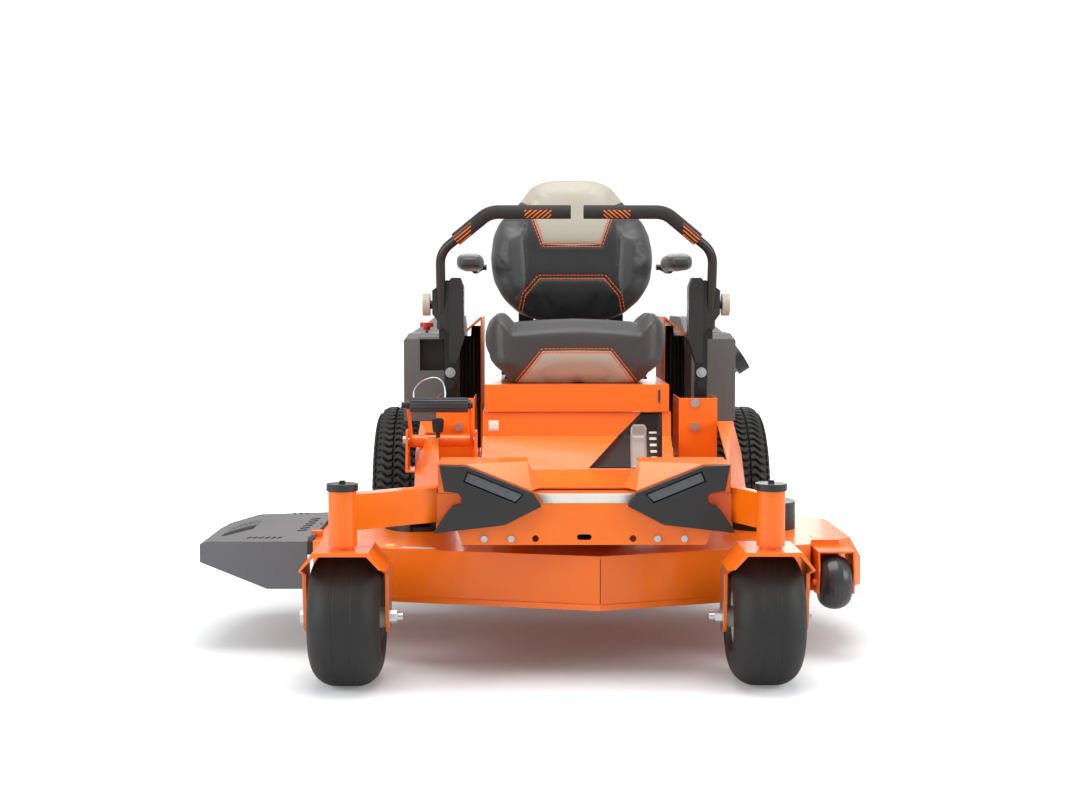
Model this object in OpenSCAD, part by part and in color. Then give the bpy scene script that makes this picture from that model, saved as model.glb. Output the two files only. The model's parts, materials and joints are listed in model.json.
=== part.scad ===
// Zero-turn ride-on mower, front facing -Y, machine's right side at -X, wheels on z = 0.

/* [Chassis] */
// Distance from the rear axle to the caster pivots
wheelbase = 1240; // [1200:10:1280]
// Height of the foot floor's top face
floor_z = 396; // [390:2:402]
// Width over the outside faces of the two frame rails
frame_w = 538; // [526:2:542]
// Width of a frame rail tube
rail_w = 38; // [32:2:42]
// Height of a frame rail tube
rail_h = 76; // [70:2:80]
// Wall of the frame tubes
tube_wall = 4; // [3:0.5:6]
// Thickness of the folded sheet steel
sheet = 3; // [2:0.5:4]
// Rearmost reach of the engine guard behind the rear axle
guard_y = 600; // [580:5:640]

/* [Drive wheels] */
// Diameter of a drive tyre
drive_tyre_d = 488; // [470:2:496]
// Width of a drive tyre
drive_tyre_w = 208; // [190:2:212]
// Width over the outside faces of the drive tyres
drive_track = 1054; // [1044:2:1068]
// Diameter of the drive wheel's rim
drive_rim_d = 208; // [190:2:220]
// Diameter of the drive axle shaft
axle_d = 25.4; // [22:0.2:30]

/* [Casters] */
// Caster pivot's distance from the centreline, machine's right
pivot_right = 483; // [475:1:490]
// Caster pivot's distance from the centreline, machine's left
pivot_left = 367; // [360:1:375]
// Diameter of a caster tyre
caster_tyre_d = 279.4; // [260:0.2:282]
// Width of a caster tyre
caster_tyre_w = 146; // [130:1:148]
// Diameter of a caster rim
caster_rim_d = 127; // [110:1:140]
// How far a caster axle trails behind its pivot
caster_trail = 80; // [70:1:85]
// Outside diameter of a pivot tube
pivot_tube_d = 56; // [52:1:60]
// Diameter of a fork's stem
stem_d = 25.4; // [22:0.2:28]
// Diameter of a caster axle bolt
caster_bolt_d = 16; // [12:0.5:18]

/* [Cutting deck] */
// Height of the deck's top face, deck raised
deck_top_z = 253; // [249:1:256]
// Height of the deck's bottom edge, deck raised
deck_edge_z = 139; // [130:1:145]
// Sideways offset of the deck's centre towards the machine's left
deck_shift = 35; // [25:1:40]
// Sideways distance between neighbouring spindles
spindle_pitch = 395; // [390:1:405]
// How far the outer spindles sit behind the middle one
spindle_stagger = 165; // [160:1:180]
// Length of a blade
blade_len = 419; // [400:1:420]
// Diameter of a spindle shaft
spindle_d = 25; // [20:0.5:30]
// Diameter of a deck pulley's groove
pulley_d = 130; // [110:2:134]
// Diameter of the anti-scalp roller
roller_d = 118; // [100:1:120]

/* [Seat] */
// Width of the seat cushion
cushion_w = 444; // [400:2:450]
// Width of the backrest
back_w = 444; // [400:2:450]
// Height of the top of the backrest
back_top_z = 1108; // [1080:2:1120]
// Height of the seat pan's top face
pan_z = 585; // [580:1:590]

/* [Lap bars] */
// Distance of a lap bar's upright tube from the centreline
bar_x = 322; // [318:1:326]
// Height of the top of the lap bars
bar_z = 988; // [970:1:1000]
// Gap between the two closed lap bars
bar_gap = 38; // [30:1:60]
// Diameter of a lap bar's tube
bar_d = 22; // [19:0.5:24]
// Diameter of a lap bar's foam grip
grip_d = 32; // [28:0.5:34]

/* [Hidden] */
$fn = 48;

orange = "#f26a1b";
charcoal = "#4a4a48";
black = "#262625";
steel = "#b9bcc0";
vinyl = "#3b3b3d";
right = -1; // the machine's right side lies at -X
left = 1;
sides = [right, left];
run_fit = 0.05; // radial clearance of a shaft in its bore
gap = 0.4; // clearance between curved faces of neighbouring bodies

drive_r = drive_tyre_d / 2;
drive_x = (drive_track - drive_tyre_w) / 2;
caster_r = caster_tyre_d / 2;
pivot_y = -wheelbase;
caster_y = pivot_y + caster_trail;
rail_x = (frame_w - rail_w) / 2;
rail_top = floor_z - sheet;
rail_bottom = rail_top - rail_h;
beam_back = -1087;
beam_front = -1137;
rail_back = 520;

// Casters: heights of the stacked pieces, from the tyre's top up to the dust cap
fork_under = caster_tyre_d + 4.6;
fork_plate = 8;
fork_top = fork_under + fork_plate;
tube_bottom = fork_top + 6;
tube_top = tube_bottom + 116;
fork_in = caster_tyre_w / 2 + 6;
fork_out = fork_in + fork_plate;
bush_r = 19.05;

// Deck: spindle places and the levels above its top face
mid_spindle = [deck_shift - 5, -840];
right_spindle = [mid_spindle.x - spindle_pitch, mid_spindle.y + spindle_stagger];
left_spindle = [mid_spindle.x + spindle_pitch, mid_spindle.y + spindle_stagger];
spindles = [right_spindle, mid_spindle, left_spindle];
deck_left = left_spindle.x + blade_len / 2 + 5.5;
deck_right = right_spindle.x - blade_len / 2 - 15.5;
deck_nose = [deck_shift, -1100];
deck_back = -440;
chute_front = -880;
chute_back = -400;
blade_z = deck_edge_z + 19;
belt_z = deck_top_z + 44;
roller_at = [left_spindle.x + 128, left_spindle.y - 265, deck_edge_z + 31];

// Deck lift: two cross shafts with arms whose pins carry the deck's hangers
lift_z = rail_bottom + 18;
lift_arm = 95;
lift_angle = asin(0.4);
front_pin_y = -895;
rear_pin_y = -470;
front_shaft_y = front_pin_y - lift_arm * cos(lift_angle);
rear_shaft_y = rear_pin_y + lift_arm * cos(lift_angle);
pin_z = lift_z + lift_arm * sin(lift_angle);
hanger_x = 190;
lift_shaft_r = 12.5;
pin_r = 6;
pedal_at = [-800, 467]; // y and z of the lift pedal's pivot
pedal_grip_at = [-900, 555];

// Lap bars: the lever pivots fore and aft in the tower, the bar swings out on the lever
lever_at = [-560, 520];
swing_z = 582;
arm_x = 301;
tower_in = 241;
tower_out = 331;
tower_front = -640;
tower_top = 553;
bar_low = [bar_x, -561, 715];
bar_bend = [bar_x, -604, 896];
bar_knee = [205, -644, bar_z];
bar_end = [bar_gap / 2, -650, bar_z];

// Body panels
fender_in = 292;
fender_out = 424;
left_fender_out = 402;
function side_out(side) = side < 0 ? fender_out : left_fender_out;
fender_low = 522;
fender_top = 700;
engine_at = [0, 265];
blower_top = 664;
deck_plate = 3;

// The row frame's origin: middle of the whole box, on the ground
chute_tip = deck_right - 252;
mid_x = (chute_tip + deck_left) / 2;
mid_y = (caster_y - caster_r + guard_y) / 2;

// ---- helpers ----

module at_origin() {
    translate([-mid_x, -mid_y, 0]) children();
}

// A box given by its two opposite corners
module block(a, b) {
    translate(a) cube(b - a);
}

// A cylinder along X between two x values
module rod_x(x0, x1, y, z, r, fn = 48) {
    translate([x0, y, z]) rotate([0, 90, 0]) cylinder(r = r, h = x1 - x0, $fn = fn);
}

// A cylinder along Y between two y values
module rod_y(y0, y1, x, z, r, fn = 48) {
    translate([x, y0, z]) rotate([-90, 0, 0]) cylinder(r = r, h = y1 - y0, $fn = fn);
}

// A cylinder along Z between two heights
module rod_z(z0, z1, x, y, r, fn = 48) {
    translate([x, y, z0]) cylinder(r = r, h = z1 - z0, $fn = fn);
}

// A profile drawn in (y, z), carried along X
module along_x(x0, x1) {
    translate([x0, 0, 0]) rotate([90, 0, 90]) linear_extrude(x1 - x0) children();
}

// A profile drawn in (x, z), carried along Y
module along_y(y0, y1) {
    translate([0, y1, 0]) rotate([90, 0, 0]) linear_extrude(y1 - y0) children();
}

// Mirrors its children to the machine's left; they are drawn for positive x
module on_side(side) {
    mirror([side == right ? 1 : 0, 0, 0]) children();
}

function unit(v) = v / norm(v);

// Orients a shape's x, y and z axes along three unit vectors, at a point
module framed(at, ex, ey, ez) {
    multmatrix([
        [ex.x, ey.x, ez.x, at.x],
        [ex.y, ey.y, ez.y, at.y],
        [ex.z, ey.z, ez.z, at.z],
        [0, 0, 0, 1]]) children();
}

// A straight round bar between two points in space
module bar_between(p, q, r) {
    d = unit(q - p);
    side = unit(cross(abs(d.z) > 0.9 ? [1, 0, 0] : [0, 0, 1], d));
    framed(p, side, cross(d, side), d) cylinder(r = r, h = norm(q - p));
}

function turn_at(a, p, b) = acos(unit(p - a) * unit(b - p));
function tangent_len(a, p, b, bend) = bend * tan(turn_at(a, p, b) / 2);
lap = 0.5; // how far a straight leg runs into the arc after it

// The arc of a bent tube at corner p, between the legs from a and to b; a hair thinner than the legs
module bend_arc(a, p, b, bend, r) {
    d = unit(p - a);
    e = unit(b - p);
    inward = unit(e - d * (d * e));
    start = p - d * tangent_len(a, p, b, bend);
    framed(start + inward * bend, -inward, d, cross(-inward, d))
        rotate_extrude(angle = turn_at(a, p, b)) translate([bend, 0]) circle(r = r - 0.05);
}

// A tube or bar along four points, with both inner corners bent to a radius
module bent_bar(pts, bend, r) {
    t1 = tangent_len(pts[0], pts[1], pts[2], bend) - lap;
    t2 = tangent_len(pts[1], pts[2], pts[3], bend) - lap;
    d0 = unit(pts[1] - pts[0]);
    d1 = unit(pts[2] - pts[1]);
    d2 = unit(pts[3] - pts[2]);
    bar_between(pts[0], pts[1] - d0 * t1, r);
    bend_arc(pts[0], pts[1], pts[2], bend, r);
    bar_between(pts[1] + d1 * t1, pts[2] - d1 * t2, r);
    bend_arc(pts[1], pts[2], pts[3], bend, r);
    bar_between(pts[2] + d2 * t2, pts[3], r);
}

// A hexagonal bolt head or nut, standing on a plane along +Z
module hex(across, h) {
    cylinder(d = across / cos(30), h = h, $fn = 6);
}

// A rectangular tube along Y
module rail(x, y0, y1, z0, z1) {
    difference() {
        block([x - rail_w / 2, y0, z0], [x + rail_w / 2, y1, z1]);
        block([x - rail_w / 2 + tube_wall, y0 - 1, z0 + tube_wall],
            [x + rail_w / 2 - tube_wall, y1 + 1, z1 - tube_wall]);
    }
}

// ---- chassis ----

// Two rails, their cross members and the engine's mounting plate
module frame_rails() {
    inner = rail_x - rail_w / 2;
    plate_y = [60, 500];
    color(orange) at_origin() {
        difference() {
            for (s = sides) rail(s * rail_x, beam_back, rail_back, rail_bottom, rail_top);
            for (y = [front_shaft_y, rear_shaft_y])
                rod_x(-rail_x - rail_w, rail_x + rail_w, y, lift_z, lift_shaft_r + run_fit);
        }
        for (y = [-1062, -560, -140, rail_back - 40])
            block([-inner, y, rail_bottom], [inner, y + 40, rail_bottom + 50]);
        difference() {
            block([-inner, plate_y[0], rail_top - 6], [inner, plate_y[1], rail_top]);
            rod_z(rail_top - 10, rail_top + 10, engine_at.x, engine_at.y, 60);
        }
        // posts and shelves that carry the fenders and the fuel tank
        for (s = sides, y = [-190, 190]) on_side(s) {
            block([rail_x - 8, y, rail_top - 1], [rail_x - 2, y + 40, fender_low - 1]);
            block([rail_x - 8, y, fender_low - 6], [side_out(s) - 4, y + 40, fender_low]);
        }
        // drawbar plate behind the last cross member, with the hitch hole
        difference() {
            hull() {
                block([-70, rail_back, rail_bottom], [70, rail_back + 1, rail_bottom + 8]);
                rod_z(rail_bottom, rail_bottom + 8, 0, rail_back + 48, 26, 32);
            }
            rod_z(rail_bottom - 1, rail_bottom + 9, 0, rail_back + 48, 8.5);
        }
    }
}

function pivot_at(side) = [side == right ? -pivot_right : pivot_left, pivot_y];

// Cross beam with two forward-swept arms that end in bored pivot tubes
module front_axle() {
    arm_low = rail_bottom + 14;
    arm_high = rail_top + 9;
    beam_half = 304;
    color(orange) at_origin() difference() {
        union() {
            block([-beam_half, beam_front, rail_bottom], [beam_half, beam_back, rail_top - 3]);
            for (s = sides) {
                p = pivot_at(s);
                translate([0, 0, arm_low]) linear_extrude(arm_high - arm_low) polygon([
                    [s * (beam_half - 2), beam_front],
                    [p.x - s * 6, p.y - 25],
                    [p.x - s * 2, p.y + 25],
                    [s * (beam_half - 2), beam_back]]);
                rod_z(tube_bottom, tube_top, p.x, p.y, pivot_tube_d / 2);
            }
        }
        for (s = sides)
            rod_z(tube_bottom - 1, tube_top + 1, pivot_at(s).x, pivot_at(s).y, bush_r);
    }
}

// Bushes in both ends of each pivot tube, and the dust caps over the tubes
module pivot_bearings() {
    cap_r = pivot_tube_d / 2 + 3.5;
    color(black) at_origin() for (s = sides) translate([pivot_at(s).x, pivot_at(s).y, 0]) {
        for (z = [tube_bottom, tube_top - 26]) difference() {
            rod_z(z, z + 26, 0, 0, bush_r);
            rod_z(z - 1, z + 27, 0, 0, stem_d / 2 + run_fit);
        }
        difference() {
            rod_z(tube_top - 5, tube_top + 9, 0, 0, cap_r);
            rod_z(tube_top - 6, tube_top, 0, 0, pivot_tube_d / 2);
            rod_z(tube_top - 1, tube_top + 7, 0, 0, pivot_tube_d / 2 - 5);
        }
        translate([0, 0, tube_top + 9]) hex(11, 6);
    }
}

// The wedge that carries one headlight, drawn for positive x
module pod_wedge() {
    hull() {
        block([117, -1080, floor_z + 50], [300, -1000, floor_z + 54]);
        block([243, beam_front, floor_z + 45], [300, -1080, floor_z + 54]);
        block([108, beam_front, floor_z - 5], [300, -1000, floor_z]);
        block([84, -1080, floor_z - 5], [90, -1000, floor_z]);
    }
}

// Front plate with its slot and holes, and the two wedges behind the lights
module front_cowl() {
    low = rail_bottom - 33;
    high = rail_top;
    plate = 4;
    color(orange) at_origin() {
        difference() {
            along_y(beam_front - plate, beam_front) polygon([
                [-250, low], [250, low], [262, low + 34], [292, low + 34], [284, high - 30],
                [250, high - 20], [284, high + 53], [243, high + 51], [108, high], [-108, high],
                [-243, high + 51], [-284, high + 53], [-250, high - 20], [-284, high - 30],
                [-292, low + 34], [-262, low + 34]]);
            for (s = sides) rod_y(beam_front - 10, beam_front + 10, s * 100, low + 9 + plate, 7);
            block([-9, beam_front - 10, low + 10], [9, beam_front + 10, low + 22]);
            for (s = [-1, 1]) rod_y(beam_front - 10, beam_front + 10, s * 9, low + 16, 6);
        }
        block([-250, beam_front, low], [250, beam_front + 26, low + plate]);
        for (s = sides) on_side(s) difference() {
            pod_wedge();
            translate([-sheet, sheet, -sheet]) pod_wedge();
            block([0, -1085, rail_top - 10], [301, -700, floor_z]);
        }
    }
}

// Outline of a headlight housing in (x, z), for positive x
module light_outline() {
    polygon([
        [296, 450], [242, 448], [105, 393], [88, 366], [162, 328],
        [308, 311], [286, 346], [271, 365], [253, 371], [251, 384], [257, 394], [286, 397]]);
}

module lens_outline(grow = 0) {
    a = [240, 426];
    b = [138, 384];
    d = unit(b - a);
    across = [-d.y, d.x] * (9 + grow);
    polygon([a + across - d * grow, b + across + d * grow, b - across + d * (8 + grow), a - across - d * grow]);
}

// Moulded housings that wrap the front corners, each with a sunken lamp slot
module headlight_housings() {
    face = beam_front - 26;
    color(black) at_origin() for (s = sides) on_side(s) difference() {
        along_y(face, beam_front - 4) light_outline();
        along_y(face - 1, face + 14) lens_outline(3);
    }
}

module headlight_lenses() {
    face = beam_front - 26;
    color("#d8dad6") at_origin() for (s = sides) on_side(s) along_y(face + 4, face + 14) lens_outline();
}

// The folded guard beside the foot well, drawn for positive x
module wing() {
    hull() {
        block([300, -1085, floor_z - 60], [302, -1080, floor_z + 54]);
        block([360, -900, floor_z - 56], [365, -896, floor_z - 36]);
        block([368, -760, floor_z - 50], [372, -756, floor_z + 40]);
        block([tower_out, tower_front, floor_z - 50], [368, tower_front + 4, floor_z + 103]);
        block([300, tower_front, floor_z - 50], [tower_out, tower_front + 4, floor_z + 20]);
    }
}

// Foot floor, the guards at both sides and the pivot plates of the lift pedal
module foot_pan() {
    color(orange) at_origin() {
        block([-300, -1084, rail_top], [300, -745, floor_z]);
        difference() {
            for (s = sides) on_side(s) difference() {
                wing();
                translate([-sheet, sheet, -sheet]) wing();
                block([290, tower_front - 1, 0], [400, tower_front + 10, 600]);
            }
            block([-384, -828, 448], [-238, -772, 520]);
        }
        difference() {
            union() {
                block([-236, -830, floor_z - 1], [-230, -770, 490]);
                along_x(-389, -384) polygon([[-840, 400], [-755, 400], [-775, 492], [-825, 492]]);
                block([-389, -840, 400], [-366, -755, 404]);
            }
            rod_x(-400, -220, pedal_at[0], pedal_at[1], 8);
        }
    }
}

// Folded front panel below the seat, its side walls and the slanted gussets beside the seat
module seat_box() {
    half = 219;
    fold = [[tower_front + 8, 520], [tower_front, 463], [-745, floor_z], [-745, rail_top]];
    color(orange) at_origin() {
        along_x(-half, half) polygon(concat(fold, [
            [fold[3][0] + sheet, rail_top], [fold[2][0] + sheet, floor_z - 1],
            [fold[1][0] + sheet, 462], [fold[0][0] + sheet, 520]]));
        for (s = sides) on_side(s) {
            along_x(half, half + sheet) polygon([
                [-745, rail_top], fold[2], fold[1], fold[0], [-200, 520], [-200, rail_top]]);
            along_x(232, 236) polygon([[-310, rail_top], [-310, 740], [-60, 740], [-60, rail_top]]);
            block([half, -310, rail_top], [233, -200, rail_top + sheet]);
            along_y(-310, -60) polygon([[236, 740], [289, 693], [289, 688], [236, 734]]);
        }
        // battery tray
        block([-half, -470, rail_top], [half, -300, floor_z]);
        // fixed hinge barrels at the front of the seat pan
        for (s = sides) rod_x(s * 195 - 14, s * 195 + 14, tower_front + 20, 530, 9);
        for (s = sides) block([s * 195 - 14, tower_front + 9, 505], [s * 195 + 14, tower_front + 14, 530]);
    }
}

// Open-backed boxes that carry the control levers' pivots
module control_towers() {
    back = -480;
    color(orange) at_origin() for (s = sides) on_side(s) {
        difference() {
            block([tower_in, tower_front, rail_top], [tower_out, back, tower_top]);
            block([tower_in + sheet, tower_front + sheet, rail_top - 1], [tower_out - sheet, back + 1, 700]);
        }
        rod_x(tower_in + sheet, tower_out - sheet, lever_at[0], lever_at[1], 8);
    }
}

// Side outline of a fender in (y, z)
module fender_side(inset = 0) {
    polygon([
        [-420 + inset, 482 - inset * 2], [-420 + inset, fender_top - 14 - inset],
        [-408 + inset, fender_top - inset], [-240, fender_top - inset], [-130, fender_top + 36 - inset],
        [180, fender_top + 36 - inset], [300 - inset, fender_top - 10 - inset],
        [330 - inset, fender_low - inset * 2], [-262, fender_low - inset * 2], [-292, 482 - inset * 2]]);
}

// Front outline of a fender in (x, z), for positive x
module fender_front(inset, out) {
    polygon([
        [fender_in + inset, 400], [fender_in + inset, 760 - inset], [330, 760 - inset],
        [out - 12 - inset, fender_top - inset], [out - inset, fender_top - 18 - inset],
        [out - inset, 400]]);
}

// A fender's outer shell, open below, for positive x
module fender_shell(out) {
    difference() {
        intersection() {
            along_x(fender_in, out) fender_side();
            along_y(-430, 340) fender_front(0, out);
        }
        intersection() {
            along_x(fender_in - 1, out + 1) fender_side(sheet);
            along_y(-430, 340) fender_front(sheet, out);
        }
    }
}

pto_at = [-372, -330];
key_at = [-325, -360];
throttle_at = [-330, -290];

// Right fender: a storage pocket in its front face and the control console on top
module right_fender() {
    color(charcoal) at_origin() difference() {
        union() {
            on_side(right) fender_shell(fender_out);
            block([-388, -419, 603], [-316, -350, 690]);
        }
        block([-384, -430, 607], [-320, -354, 686]);
        rod_z(600, 760, pto_at.x, pto_at.y, 4.3);
        rod_z(600, 760, key_at.x, key_at.y, 7.3);
        block([throttle_at.x - 4.5, throttle_at.y - 26, 640], [throttle_at.x + 4.5, throttle_at.y + 26, 760]);
    }
}

cup_at = [350, -335];
neck_dir = [cos(33), 0, sin(33)];
neck_root = [402, -240, 610];

// Left fender: a cup holder on top and the hole round the fuel neck
module left_fender() {
    color(charcoal) at_origin() difference() {
        union() {
            on_side(left) fender_shell(left_fender_out);
            rod_z(622, fender_top, cup_at.x, cup_at.y, 44);
        }
        rod_z(626, fender_top + 1, cup_at.x, cup_at.y, 40);
        bar_between(neck_root - neck_dir * 60, neck_root + neck_dir * 80, 39.5);
    }
}

// Blow-moulded tank inside the left fender, with its slanted filler neck
module fuel_tank() {
    color("#55555a") at_origin() difference() {
        union() {
            along_x(fender_in + 6, left_fender_out - 20) polygon([
                [-284, fender_low], [-284, 600], [-262, 680], [-120, 698], [170, 698], [280, 670],
                [290, fender_low]]);
            bar_between(neck_root - neck_dir * 45, neck_root + neck_dir * 38, 27);
        }
        along_x(fender_in + 10, left_fender_out - 24) polygon([
            [-280, fender_low + 4], [-280, 600], [-258, 677], [-119, 694], [168, 694], [276, 667],
            [286, fender_low + 4]]);
        bar_between(neck_root - neck_dir * 50, neck_root + neck_dir * 39, 23);
    }
}

module fuel_cap() {
    base = neck_root + neck_dir * 18;
    color(black) at_origin() difference() {
        bar_between(base, base + neck_dir * 30, 36);
        bar_between(base - neck_dir, base + neck_dir * 21, 27 + gap);
    }
}

// ---- engine and drive ----

// Crankcase with two finned cylinders in a vee, and the oil filter
module engine_block() {
    top = 560;
    color("#5a5c5e") at_origin() {
        difference() {
            union() {
                block([-105, 150, rail_top], [105, 370, top]);
                rod_z(rail_top - 20, rail_top, engine_at.x, engine_at.y, 45);
            }
            rod_z(rail_top - 21, 500, engine_at.x, engine_at.y, 14 + run_fit);
        }
        for (s = sides) translate([s * 70, 312, 490]) rotate([0, 0, -s * 45]) {
            block([-42, -10, -45], [42, 110, 45]);
            for (i = [0:6]) block([-56, 20 + i * 12, -58], [56, 25 + i * 12, 58]);
            block([-50, 104, -52], [50, 128, 52]);
        }
        for (s = sides, y = [175, 345]) rod_z(top - 5, blower_top - 4, s * 90, y, 8);
        rod_y(104, 151, -60, 455, 36);
        rod_y(96, 105, -60, 455, 30);
    }
}

// Sheet shroud over the engine with the round intake screen and air cleaner
module blower_housing() {
    low = 564;
    color(black) at_origin() {
        difference() {
            hull() for (s = sides, y = [90, 400]) rod_z(low, blower_top, s * 150, y, 40, 32);
            hull() for (s = sides, y = [90, 400]) rod_z(low - 1, blower_top - 4, s * 150, y, 36, 32);
        }
        difference() {
            rod_z(663, 706, 0, 205, 125);
            rod_z(668, 710, 0, 205, 118);
            rod_z(650, 690, 0, 205, 40);
        }
        for (i = [0:5]) translate([0, 205, 0]) rotate([0, 0, i * 30]) block([-118.5, -2, 700], [118.5, 2, 705]);
        for (r = [36, 64, 92]) difference() {
            rod_z(700, 705, 0, 205, r);
            rod_z(699, 706, 0, 205, r - 4);
        }
        block([-110, 345, 663], [110, 430, 722]);
    }
}

module muffler() {
    color("#77777a") at_origin() {
        rod_x(-150, 150, 505, 455, 48);
        block([-60, 485, rail_top], [60, 525, 420]);
        for (s = sides) rod_x(s * 152 - 2, s * 152 + 2, 505, 455, 51);
        rod_y(504, 562, 118, 440, 15);
    }
}

// Rear bumper: a bent round tube with two mounting plates
module engine_guard() {
    r = 17;
    y = guard_y - r;
    color(orange) at_origin() {
        for (s = sides) block([s * 240 - 4, rail_back - 90, rail_top], [s * 240 + 4, y, 470]);
        for (z = [410, 455]) rod_x(-244, 244, y, z, r);
        bent_bar([[-225, y, 455], [-160, y, 560], [160, y, 560], [225, y, 455]], 45, 12);
    }
}

module battery() {
    color(black) at_origin() {
        block([-195, -450, floor_z], [-15, -320, 530]);
        block([-190, -445, 529], [-20, -325, 540]);
        for (x = [-170, -40]) rod_z(539, 550, x, -385, 8);
    }
}

// Left and right hydrostatic transaxles, bored for the axle shafts
module transaxles() {
    color("#8d9093") at_origin() for (s = sides) on_side(s) difference() {
        union() {
            block([95, -85, 172], [215, 85, rail_bottom - 8]);
            rod_x(214, 318, 0, drive_r, 34);
            rod_x(230, 246, 0, drive_r, 60);
            rod_z(rail_bottom - 9, rail_bottom + 40, 150, -30, 30);
            block([226, -60, drive_r], [244, 60, rail_bottom]);
        }
        rod_x(150, 330, 0, drive_r, axle_d / 2 + run_fit);
    }
}

// Bolts that show on the chassis: tower fronts, pedal pivot, seat box and guard plates
module frame_bolts() {
    color(steel) at_origin() {
        for (s = sides, z = [485, 542])
            translate([s * 278, tower_front, z]) rotate([90, 0, 0]) cylinder(r = 10, h = 6);
        for (s = sides, y = [-560, -520])
            translate([s * tower_out, y, 420]) rotate([0, s * 90, 0]) hex(13, 6);
        rod_x(-389, -230, pedal_at[0], pedal_at[1], 8 - run_fit);
        translate([-389, pedal_at[0], pedal_at[1]]) rotate([0, -90, 0]) hex(19, 8);
        for (s = sides, x = [150, 205])
            translate([s * x, beam_front - 4, rail_bottom - 20]) rotate([90, 0, 0]) hex(13, 5);
    }
}

module engine_pulley() {
    color("#6f7174") at_origin() {
        rod_z(rail_bottom - 58, 498, engine_at.x, engine_at.y, 14);
        rod_z(rail_bottom - 12, rail_bottom + 34, engine_at.x, engine_at.y, 70);
        difference() {
            rod_z(rail_bottom - 46, rail_bottom - 16, engine_at.x, engine_at.y, 76);
            for (a = [0:60:300]) translate([engine_at.x, engine_at.y, 0]) rotate([0, 0, a])
                rod_z(rail_bottom - 50, rail_bottom, 45, 0, 12);
        }
        difference() {
            rod_z(rail_bottom - 20, rail_bottom - 10, engine_at.x, engine_at.y, 60);
            rod_z(rail_bottom - 21, rail_bottom - 9, engine_at.x, engine_at.y, 30);
        }
    }
}

// ---- console controls ----

module pto_knob() {
    color("red") at_origin() {
        rod_z(670, 706, pto_at.x, pto_at.y, 4);
        rod_z(706, 714, pto_at.x, pto_at.y, 9);
        rod_z(714, 726, pto_at.x, pto_at.y, 17);
    }
}

throttle_pivot = [throttle_at.y, 672];

module throttle_lever() {
    x = throttle_at.x;
    color(black) at_origin() {
        rod_x(x - 9, x + 9, throttle_pivot[0], throttle_pivot[1], 8);
        block([x - 2, throttle_pivot[0] - 4, 672], [x + 2, throttle_pivot[0] + 4, 728]);
        rod_x(x - 11, x + 11, throttle_pivot[0], 732, 9);
    }
}

module ignition_key() {
    color(black) at_origin() {
        rod_z(680, 703, key_at.x, key_at.y, 7);
        rod_z(703, 708, key_at.x, key_at.y, 12);
        block([key_at.x - 2, key_at.y - 9, 708], [key_at.x + 2, key_at.y + 9, 730]);
    }
}

// ---- wheels ----

// A tyre's half section in (radius, width), with rounded shoulders
module tyre_section(r, w, rim_r, shoulder) {
    h = w / 2;
    bead = h * 0.82;
    arc = [for (a = [0:15:90]) [r - shoulder + shoulder * cos(a), h - shoulder + shoulder * sin(a)]];
    polygon(concat(
        [[rim_r, -bead], [rim_r, bead], [rim_r + 14, bead]],
        [for (i = [6:-1:0]) arc[i]],
        [for (i = [0:6]) [arc[i].x, -arc[i].y]],
        [[rim_r + 14, -bead]]));
}

// Turns a section drawn as (radius, width) about an axis along X
module wheel_at(x, y, z) {
    translate([x, y, z]) rotate([0, 90, 0]) rotate_extrude($fn = 96) children();
}

module caster_tyre(side) {
    color(black) at_origin() wheel_at(pivot_at(side).x, caster_y, caster_r)
        tyre_section(caster_r, caster_tyre_w, caster_rim_d / 2, 44);
}

// Rim with its hub tube, bored for the axle bolt
module caster_rim(side) {
    hub = fork_in - 1;
    rim_r = caster_rim_d / 2;
    bolt_r = caster_bolt_d / 2 + run_fit;
    half = caster_tyre_w * 0.41;
    color(charcoal) at_origin() wheel_at(pivot_at(side).x, caster_y, caster_r) polygon([
        [bolt_r, -hub], [21, -hub], [25, -20], [rim_r - 14, -16], [rim_r - 10, -half + 6],
        [rim_r - 6, -half], [rim_r, -half], [rim_r, half], [rim_r - 6, half], [rim_r - 10, half - 6],
        [rim_r - 14, 16], [25, 20], [21, hub], [bolt_r, hub]]);
}

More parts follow.
